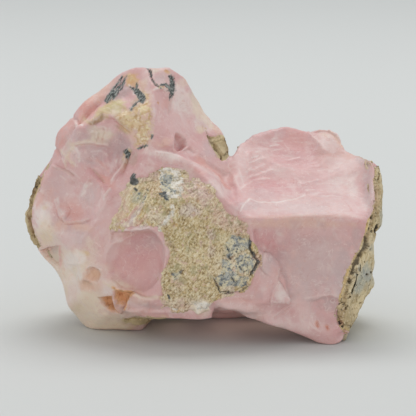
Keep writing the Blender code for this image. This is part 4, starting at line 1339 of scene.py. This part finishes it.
ROCK_LINES = [
    (RED, [(138, 206), (131, 213), (121, 223)], 1.3, 0.8),
    (RED, [(146, 216), (141, 221), (134, 227)], 1.3, 0.7),
    (LILAC, [(142, 205), (136, 212), (131, 219)], 2.2, 0.9),
    (MILK, [(138, 210), (133, 217), (128, 224)], 1.0, 0.7),
    # the pale lines along the scar's top rim, where the crust ends, are painted highlights on that edge
    (PALE, [(113, 226), (124, 224), (132, 229), (146, 225)], 1.6, 0.9),
    (MILK, [(132, 230), (138, 227), (144, 226)], 1.2, 0.8),
    (BROWN, [(195, 231), (198, 236), (194, 240)], 1.0, 0.8), (BROWN, [(180, 273), (183, 269)], 1.3, 0.9),
    (BROWN, [(171, 206), (174, 205)], 1.6, 0.8), (RED, [(164, 234), (165, 240)], 1.4, 0.6),
    (OCHRE, [(198, 187), (210, 188)], 1.0, 0.5), (BROWN, [(160, 202), (165, 206)], 1.8, 0.5),
    (BROWN, [(192, 284), (200, 280)], 1.0, 0.5), (BROWN, [(211, 297), (217, 294)], 1.2, 0.6),
    (TAN, [(184, 170), (198, 176), (212, 190), (222, 204)], 3.0, 0.7),
    (STRAW, [(250, 225), (254, 232), (253, 240)], 2.0, 0.7), (DARK, [(187, 246), (191, 250)], 0.8, 0.5),
]  # fmt: skip
lay_on(ROCK_WASHES, ROCK_LINES)

# White chalk, blue-grey plates and soot, as depth inside each patch in mm.
chalk = mark_of(
    [
        ([(173, 206), (171, 214), (166, 221)], 6, 5), ([(172, 216), (166, 222), (160, 227), (161, 232)], 5, 3),
        ([(165, 308), (178, 309)], 2.5, 2.5),
    ],
    [
        [(160, 170), (168, 167), (178, 169), (184, 178), (184, 190), (179, 197), (172, 200), (164, 197),
            (161, 190), (158, 180)],
        [(168, 192), (177, 192.5), (178, 198), (171, 200)], [(195, 304), (207, 301), (209, 309), (197, 311)],
    ],
)  # fmt: skip
slate = mark_of(
    [
        ([(147.5, 191), (145, 196), (142.5, 203)], 4.2, 3.0), ([(139, 193), (136, 199)], 2.4, 2.4),
    ],
    [
        [(228, 238), (234, 235), (244, 238), (251, 242), (252, 250), (245, 250), (235, 255), (228, 259),
            (224, 252), (225, 243)],
        [(236, 257), (245, 252), (253, 256), (256, 262), (254, 270), (248, 274), (239, 272), (233, 267)],
        [(221, 258), (231, 259), (233, 268), (240, 274), (248, 277), (248, 286), (240, 289), (229, 286),
            (219, 288), (214, 278), (222, 270)],
        [(160, 178), (168, 172), (174, 176), (172, 186), (176, 191), (170, 195), (162, 191), (160, 184)],
        [(171, 273), (178, 272), (181, 278), (174, 281)], [(161, 194), (167, 194), (170, 200), (165, 202)],
    ],
)  # fmt: skip
soot = mark_of(
    [
        ([(134, 174.5), (132.8, 178), (134, 181.5)], 4, 7), ([(134.5, 188.5), (137, 190)], 2.2, 2.4),
        ([(160, 194.5), (165, 194)], 2.5, 2.5), ([(162, 197), (168, 201)], 2.5, 1.5),
        ([(229, 256), (231, 259)], 2.5, 2.5), ([(231, 277), (235, 283)], 1.6, 1.6),
        ([(226, 246), (229, 252)], 1.4, 1.4), ([(239, 266), (241, 269)], 1.6, 1.6),
        # along the two cracks the soot is partly painted shade in them
        ([(168, 295), (169, 298)], 2, 2), ([(180, 272), (182, 270)], 1.2, 1.2), (RIGHT_CRACK, 3.2, 1.2),
        (LOWER_CRACK, 1.2, 1.0),
    ],
)  # fmt: skip
broken = 1.6 * grain(place, 2.6, 58)
chalk = np.where(in_view < 0.5, 6 * ball(place, (-16, 20, 40), (6, 8, 5)) + broken, chalk)
slate = np.where(in_view < 0.5, 6 * ball(place, (-6, 20, 30), (7, 9, 6)) + broken, slate)
keep(crust, "tint", tint)
keep(crust, "gritty", gritty * (1 - 0.4 * sparse))
keep(crust, "marks", np.clip(np.stack([chalk, slate, soot], axis=1), NO_MARK, -NO_MARK))
keep(crust, "hollow", relax(lift - relax(lift, joins, 8), joins, 1))

# The rock's grains and stains, and what its marks are coloured with.
LIGHT_FIBRE = (0.91, 0.84, 0.64)
LIGHT_GRAIN = (0.92, 0.87, 0.74)
FIBRE_SHADE = (0.56, 0.48, 0.36)
SPECK_SHADE = (0.50, 0.42, 0.34)
GRAIN_SHADE = (0.52, 0.46, 0.36)
OPAL_DUST = (0.68, 0.48, 0.42)
OCHRE_STAIN = (0.64, 0.43, 0.18)
OLIVE_STAIN = (0.40, 0.37, 0.21)
PALE_STRAW = (0.86, 0.79, 0.58)
GREY_CHALK = (0.58, 0.56, 0.50)
WHITE_CHALK = (0.90, 0.87, 0.80)
SAND_GRAIN = (0.66, 0.54, 0.34)
DARK_SLATE = (0.19, 0.225, 0.25)
PALE_SLATE = (0.47, 0.49, 0.46)
SLATE_STRAW = (0.76, 0.70, 0.50)
SLATE_BLACK = (0.07, 0.085, 0.10)
SOOT_BLACK = (0.045, 0.055, 0.065)
SOOT_GREY = (0.22, 0.24, 0.24)
HOLLOW_SHADE = (0.22, 0.165, 0.085)

grit_stone = Nodes("host_rock")
chalk_mark, slate_mark, soot_mark = grit_stone.three_marks()
ragged = grit_stone.waver(grit_stone.noise(1.3, 5, 0.68), 3.0)
speck = grit_stone.noise(0.62, 4, 0.68)
coarse = grit_stone.noise(1.25, 4, 0.68)
fibre = grit_stone.noise(0.8, 4, 0.66, place=grit_stone.place((1.9, 1.0, 0.55), (0, 0.62, 0)))
coat = grit_stone.kept("tint", "Color")
# light grains, and dark ones where the crust is gritty
coat = grit_stone.over(coat, grit_stone.mix(0.62, coat, LIGHT_FIBRE), fibre, 0.5, 0.6, 0.85)
coat = grit_stone.over(coat, grit_stone.mix(0.7, coat, LIGHT_GRAIN), speck, 0.54, 0.64, 0.8)
grittiness = grit_stone.kept("gritty")
for value, low, high, colour in (
    (fibre, 0.45, 0.36, FIBRE_SHADE),
    (speck, 0.47, 0.37, SPECK_SHADE),
    (coarse, 0.43, 0.34, GRAIN_SHADE),
):
    dark_grains = grit_stone.math("MULTIPLY", grit_stone.ramp(value, low, high, 0, 0.8), grittiness)
    coat = grit_stone.mix(dark_grains, coat, grit_stone.shade(coat, colour))
# the opal's pink mixed in, ochre, olive and straw
coat = grit_stone.over(coat, OPAL_DUST, grit_stone.noise(1.9, 4, 0.66), 0.55, 0.66, 0.6)
coat = grit_stone.over(coat, OCHRE_STAIN, grit_stone.noise(2.3, 5, 0.68), 0.59, 0.68, 0.65)
coat = grit_stone.over(coat, OLIVE_STAIN, grit_stone.noise(2.9, 5, 0.68), 0.53, 0.64, 0.6)
coat = grit_stone.over(coat, PALE_STRAW, grit_stone.noise(1.8, 5, 0.7, 0.6), 0.58, 0.66, 0.75)
# white chalk, worn through here and there
chalk_worn = grit_stone.ramp(grit_stone.noise(1.2, 5, 0.7), 0.4, 0.52, 0.25, 1)
chalk_share = grit_stone.math("MULTIPLY", grit_stone.inside(chalk_mark, ragged, 1.0, -0.1, 0.4), chalk_worn)
chalky = grit_stone.mix(grit_stone.ramp(coarse, 0.38, 0.54), GREY_CHALK, WHITE_CHALK)
coat = grit_stone.mix(chalk_share, coat, grit_stone.over(chalky, SAND_GRAIN, speck, 0.62, 0.72))
# blue-grey plates
slate_share = grit_stone.inside(slate_mark, ragged, 1.0, -0.1, 0.4)
slaty = grit_stone.mix(grit_stone.ramp(coarse, 0.42, 0.58), DARK_SLATE, PALE_SLATE)
slaty = grit_stone.over(slaty, SLATE_STRAW, grit_stone.noise(1.5, 5, 0.7, 0.4), 0.46, 0.53, 0.9)
slaty = grit_stone.over(slaty, SLATE_BLACK, speck, 0.43, 0.36, 0.85)
coat = grit_stone.mix(grit_stone.math("MULTIPLY", slate_share, 0.92), coat, slaty)
# soot, which along the two cracks is partly painted shade in them, and the shade in the hollows
soot_share = grit_stone.inside(soot_mark, ragged, 0.3, -0.2, 0.16)
sooty = grit_stone.mix(grit_stone.ramp(speck, 0.46, 0.62), SOOT_BLACK, SOOT_GREY)
coat = grit_stone.mix(grit_stone.math("MULTIPLY", soot_share, 0.92), coat, sooty)
coat = grit_stone.over(coat, HOLLOW_SHADE, grit_stone.kept("hollow"), -0.03, -0.2, 0.7)
grit_stone.join(coat, grit_stone.shader.inputs["Base Color"])
grit_stone.join(grit_stone.ramp(speck, 0.3, 0.7, 0.8, 0.95), grit_stone.shader.inputs["Roughness"])
lumpy = grit_stone.bump(coarse, 0.8, 0.0004)
grit_stone.join(grit_stone.bump(speck, 0.7, 0.0003, lumpy), grit_stone.shader.inputs["Normal"])
finish_shell(rock, grit_stone.material, 0.82)
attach(rock, "root")

# ---------------------------------------------------------------------------------------------------------
# The rind: the weathered wall of the vein, olive brown and pitted, on the stone's right side, round its left
# flank, behind the peak's tip and under the ledge. Built as the rock is, as closed shells let into the opal.
# ---------------------------------------------------------------------------------------------------------
RIND_SINK = 1.4  # mm
RIND_AREA = 1500  # square mm

wanted = face_values(body, np.where(skin_points[:, 2] > 1.2, rind_depth, OUTSIDE)) > -1.0
rind, on_top = shell_of("rind", skin_points, skin_normals, body, wanted, RIND_SINK)
husk = rind.data
place, joins, normal, match = matched(husk)
in_view = skin_view[match]
at = mark_place(place)
calm = in_view * fade(240 - at[:, 0], 0, 6)  # the peak's tip and the left edge are smooth
depth = rind_depth_of(place, skin_normals[match], in_view)
seat = rind_sunk[match]
rag = (1 - 0.5 * calm) * (0.5 * grain(place, 1.8, 63) + 0.25 * grain(place, 0.7, 64))
rise = fade(depth + rag * fade(1.7 - depth, 0, 0.9), -0.6, 0.35)
lumps = 0.34 * grain(place, 4.0, 65) + 0.22 * grain(place, 1.8, 66) + 0.12 * grain(place, 0.8, 67)
wander = three_grains(place, 1.3, (68, 69, 70)) * 0.4
first, _, _ = nearest(place + wander, scatter(place[on_top], 2.1, 71, RIND_AREA))
pores = -0.8 * fade(0.62 - first, 0.0, 0.3) * fade(grain(place, 4.5, 72), 0.15, 0.5)
bedding = np.sin(place[:, 0] * 2.6 + place[:, 1] * 0.7 + 1.6 * grain(place, 6, 73))
layers = 0.22 * fade(bedding, -0.4, 0.6) * (1 - in_view)
lift = -0.95 + rise * (0.85 + seat + (1 - 0.6 * calm) * lumps + pores + layers + 0.07 * grain(place, 0.5, 74))
at = mark_place(place + normal * np.maximum(lift, 0)[:, None])  # where its own top will show
GROOVE = [
    (365.5, 235), (369.5, 238), (370, 246), (367, 251), (363, 257), (359.5, 265), (356.5, 273), (352, 278),
    (349.5, 284), (347.5, 284), (348.5, 276), (351, 271), (354, 263), (358, 256), (363, 247),
]  # fmt: skip
TALL_WALL = [
    (373, 212), (368, 222), (363.5, 236), (359.5, 249), (353, 259), (349, 270), (345, 282), (341, 295),
    (338, 306),
]  # fmt: skip
HOLES = [
    ((374.4, 216.8), (1.6, 3.4), 25), ((376.4, 228.5), (2.6, 4.6), 10), ((368.7, 229.6), (1.4, 2.2), 0),
    ((368.4, 234.4), (0.8, 1.1), 0), ((372, 231.5), (0.9, 1.6), 0), ((345.4, 307.5), (1.0, 3.4), 0),
    ((347.8, 281.9), (1.0, 1.6), 0), ((352, 274), (0.9, 1.2), 0), ((347.5, 291.5), (0.7, 2.0), 0),
    ((340, 321.8), (2.4, 1.9), 40), ((343.2, 325.6), (1.9, 1.3), 30), ((371, 272.5), (1.3, 1.5), 0),
    ((367, 274.5), (1.5, 1.2), 0), ((360.5, 303), (0.9, 0.9), 0), ((361, 276), (0.8, 1.0), 0),
    ((357, 286), (0.9, 0.9), 0), ((364, 262), (0.8, 1.0), 0), ((371, 249), (0.8, 1.2), 0),
    ((343, 302), (1.2, 1.2), 0),
]  # fmt: skip
RIND_RELIEF = [
    (chip, GROOVE, 0.9, -0.3, 0),
    (rib, TALL_WALL, 0.3, 1.6, 0.1),
    (rib, [(370, 252), (365, 260), (359.5, 270), (355, 281), (351, 292), (349, 303)], 0.15, 1.6, 0.1),
    (rib, [(372, 252), (374, 262), (374, 273), (371, 284), (366, 298)], 0.2, 1.4, 0.1),
    (rib, [(374, 170), (375.5, 186), (376, 204)], -0.45, 1.3, 0.1),
    (rib, [(378, 186), (379.5, 196), (378, 208)], -0.4, 1.2, 0.1),
    (rib, [(379, 213), (376, 217), (371, 219)], -0.8, 1.4, 0.1),
    (bowl, (362, 285), (9, 20), 0.3, 20),
] + [(scar, middle, radii, 1.5, turn) for middle, radii, turn in HOLES]
for shape, where, *sizes in RIND_RELIEF:
    lift += rise * in_view * shape(where, *sizes)
lift = np.where(rise > 0.5, np.maximum(lift, -seat + 0.5 * fade(depth, 0.2, 0.8)), lift)
place = place + normal * np.where(on_top, lift, 0)[:, None]
place[:, 2] = np.maximum(place[:, 2], KEPT_UP)
put_points(husk, place)

# Its colours: brown at the top, a pale thin wall along the opal, a grey slab, a rusty knob at the bottom.
BARK = (0.47, 0.37, 0.21)
GREY = (0.47, 0.46, 0.37)
SHELL = (0.70, 0.58, 0.37)
BLUE_GREY = (0.30, 0.32, 0.32)
LOBE = (0.42, 0.34, 0.20)
tint = np.tile(np.array(BARK), (len(place), 1))
mix_in(TAN, 0.7 * fade(grain(place, 5, 75) + 0.4 * grain(place, 2, 76), -0.2, 0.6))
mix_in(GREY, 0.7 * fade(grain(place, 7, 77), 0.1, 0.6) * (1 - in_view))
mix_in(OCHRE, 0.6 * fade(0.9 - depth, 0, 0.6) * (1 - in_view))
RIND_WASHES = [
    (OCHRE, (374, 184), (3, 14), 0, 0.6), (TAN, (378, 180), (3, 12), 0, 0.5),
    # the pale shell and butter washes down the rind's right edge are partly painted light on a face that turns
    # away from the lamps
    (BARK, (381.5, 200), (2.2, 14), 0, 0.6), (SHELL, (377, 190), (5, 26), 0, 0.85),
    (OCHRE, (374, 178), (2, 10), 0, 0.5), (BUTTER, (376, 195), (3, 16), 0, 0.5),
    (BROWN, (376.5, 229), (4, 7), 0, 0.9), (SHELL, (369, 225), (3, 10), 20, 0.6),
    (SHELL, (372, 241), (4, 7), 0, 0.6), (SHELL, (370, 249), (5, 7), 0, 0.7),
    (BUTTER, (368, 169), (7, 6), 30, 0.7), (GREY, (371, 250), (3, 6), 0, 0.7),
    (TAN, (367, 258), (6, 8), 30, 0.6), (GREY, (361, 282), (10, 20), 20, 1.0),
    (BLUE_GREY, (367, 275), (5, 5), 0, 0.45), (BLUE_GREY, (359, 288), (3, 6), 15, 0.3),
    (TAN, (364, 294), (5, 8), 30, 0.7), (SHELL, (357, 309), (7, 9), 20, 0.7),
    (BARK, (343, 303), (3, 10), 5, 0.9), (BROWN, (341, 319), (6, 9), 0, 0.85),
    (BARK, (346, 320), (5, 7), 0, 0.7), (OCHRE, (344, 330), (5, 4), 0, 0.6),
    (SALMON, (340, 321.8), (3, 2.6), 40, 0.6), (OCHRE, (206, 131), (5, 5), 30, 0.9),
    (BROWN, (210, 137), (5, 5), 30, 0.8), (TAN, (217, 139), (7, 5), 0, 0.8),
    (LOBE, (220, 151), (9, 10), 0, 0.8), (SHELL, (220, 152), (6, 8), 0, 0.45),
    (OCHRE, (203, 127), (3, 4), 30, 0.9), (BARK, (34, 205), (6, 50), 0, 0.6),
    (DARK, (37, 178), (5, 18), 20, 0.35), (DARK, (30, 212), (4, 24), 0, 0.3),
]  # fmt: skip
RIND_LINES = [
    (SHELL, TALL_WALL, 2.0, 1.0),
    (SHELL, [(370, 252), (364, 260), (359, 270), (354, 281), (350, 292), (349, 304)], 1.6, 0.9),
    (SHELL, [(377, 170), (378, 190), (378, 208)], 1.0, 0.6),
    (BROWN, [(375, 176), (376, 190), (377, 206)], 0.9, 0.6),
    (OCHRE, [(374, 170), (372, 180), (373, 190), (375, 199), (374, 208), (368, 221), (362, 238), (357, 252),
        (351, 261), (347, 273), (343, 286), (339, 298)], 1.3, 1.0),
    (BARK, [(379, 176), (380, 192)], 1.2, 0.7), (BROWN, [(348, 276), (347, 290), (345, 300)], 1.2, 0.7),
    (BROWN, [(345, 296), (344, 306), (342, 316)], 1.6, 0.7),
    (DARK, [(206, 132), (209, 138), (211, 143)], 1.4, 0.6),
    (SHELL, [(212, 140), (217, 138), (222, 136)], 1.2, 0.8), (BLUE_GREY, [(363, 268), (364, 275)], 0.9, 0.7),
    (OCHRE, [(42, 178), (36, 196), (33, 214), (36, 234)], 1.2, 0.7),
    (SHELL, [(374, 262), (373, 276), (368, 292), (362, 305)], 1.6, 0.5),
]  # fmt: skip
lay_on(RIND_WASHES, RIND_LINES)
groove = mark_of([], [GROOVE])
hole = mark_of([], holes=HOLES)
keep(husk, "tint", tint)
keep(husk, "marks", np.clip(np.stack([groove, hole, calm], axis=1), NO_MARK, -NO_MARK))
keep(husk, "hollow", relax(lift - relax(lift, joins, 6), joins, 1))

# The rind's grains and pepper, and the near-black painted shade in its groove and holes.
BARK_LIGHT = (0.86, 0.78, 0.60)
BARK_SHADE = (0.50, 0.44, 0.36)
PEPPER = (0.12, 0.11, 0.08)
GROOVE_DARK = (0.13, 0.10, 0.06)
GROOVE_BROWN = (0.25, 0.20, 0.125)
PIT_SHADE = (0.10, 0.08, 0.05)
HOLE_SHADE = (0.035, 0.026, 0.018)

bark = Nodes("rind")
ragged = bark.waver(bark.noise(1.4, 5, 0.66), 1.2)
speck = bark.noise(0.7, 4, 0.68)
coarse = bark.noise(1.3, 4, 0.68)
groove_mark, hole_mark, calm_mark = bark.three_marks()
coat = bark.kept("tint", "Color")
# light and dark grains and pepper, fewer where the rind is smooth
rough_part = bark.ramp(calm_mark, 0, 1, 1.0, 0.3)
light_share = bark.math("MULTIPLY", bark.ramp(speck, 0.52, 0.62, 0, 0.7), rough_part)
coat = bark.mix(light_share, coat, bark.mix(0.6, coat, BARK_LIGHT))
dark_share = bark.math("MULTIPLY", bark.ramp(coarse, 0.46, 0.36, 0, 0.8), rough_part)
coat = bark.mix(dark_share, coat, bark.shade(coat, BARK_SHADE))
pepper = bark.math("MULTIPLY", bark.ramp(bark.noise(0.9, 4, 0.7), 0.61, 0.66, 0, 0.85), rough_part)
coat = bark.mix(pepper, coat, PEPPER)
# the open groove and the holes, darkened with painted shade, and the shade in the hollows
in_groove = bark.mix(bark.ramp(coarse, 0.4, 0.6), GROOVE_DARK, GROOVE_BROWN)
coat = bark.mix(bark.inside(groove_mark, ragged, 0.6, -0.15, 0.15, 0.92), coat, in_groove)
coat = bark.over(coat, PIT_SHADE, bark.kept("hollow"), -0.03, -0.2, 0.8)
coat = bark.mix(bark.inside(hole_mark, ragged, 0.12, -0.05, 0.12, 0.95), coat, HOLE_SHADE)
bark.join(coat, bark.shader.inputs["Base Color"])
bark.join(bark.ramp(speck, 0.3, 0.7, 0.75, 0.95), bark.shader.inputs["Roughness"])
lumpy = bark.bump(bark.noise(1.0, 5, 0.65), 0.5, 0.0003)
bark.join(bark.bump(speck, 0.5, 0.0002, lumpy), bark.shader.inputs["Normal"])
finish_shell(rind, bark.material, 0.78)
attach(rind, "root")

# The opal's faces under the crust and the rind are joined too, and a few of those at its back.
sunk = (rock_sunk > 0.5) | (rind_sunk > 1.1)
thin(stone, 0.73, sunk, ~sunk & (skin_view < 0.01))

# ---------------------------------------------------------------------------------------------------------
# The table: a plain pale sheet for the stone to stand on, in a pale room, under a soft, wide light from above
# and behind, with weak lamps in front and at the sides.
# ---------------------------------------------------------------------------------------------------------
bpy.ops.mesh.primitive_plane_add(size=8)
table = bpy.context.object
table.name = "table"
paper = bpy.data.materials.new("paper")
paper.use_nodes = True
sheet = paper.node_tree.nodes["Principled BSDF"]
sheet.inputs["Base Color"].default_value = (0.62, 0.635, 0.625, 1)
sheet.inputs["Roughness"].default_value = 0.9
table.data.materials.append(paper)

room = bpy.data.worlds.new("room")
bpy.context.scene.world = room
room.use_nodes = True
room_light = room.node_tree.nodes["Background"]
room_light.inputs["Color"].default_value = (0.97, 0.99, 1, 1)
room_light.inputs["Strength"].default_value = 0.57


def soft_light(name, place, aim, wide, deep, power, colour):
    lamp = bpy.data.lights.new(name, "AREA")
    lamp.shape = "ELLIPSE"
    lamp.size, lamp.size_y = wide, deep
    lamp.energy = power
    lamp.color = colour
    holder = bpy.data.objects.new(name, lamp)
    bpy.context.scene.collection.objects.link(holder)
    holder.location = place
    holder.rotation_euler = (Vector(aim) - Vector(place)).to_track_quat("-Z", "Y").to_euler()
    holder.visible_camera = False


# Each lamp: its name, its place, where it points, its width and depth, its power and its colour.
LAMPS = [
    ("overhead", (0, 0.5, 1.3), (0, 0.1, 0), 1.3, 0.7, 9.0, (1, 1, 1)),
    ("fill", (-0.04, -0.8, 0.1), (0, 0, 0.03), 0.9, 0.3, 1.45, (1, 0.87, 0.79)),
    ("left_side", (-0.8, 0.05, 0.25), (0, 0, 0.02), 0.6, 0.35, 0.8, (1, 1, 1)),
    ("right_side", (0.8, 0.05, 0.25), (0, 0, 0.02), 0.6, 0.35, 0.8, (1, 1, 1)),
    # the warm light that the stone throws back under its arch
    ("bounce", (0.006, -0.004, 0.0048), (0.006, -0.0055, 0), 0.044, 0.018, 0.00042, (1, 0.68, 0.55)),
]
for lamp in LAMPS:
    soft_light(*lamp)
bpy.context.scene.view_settings.view_transform = "Standard"
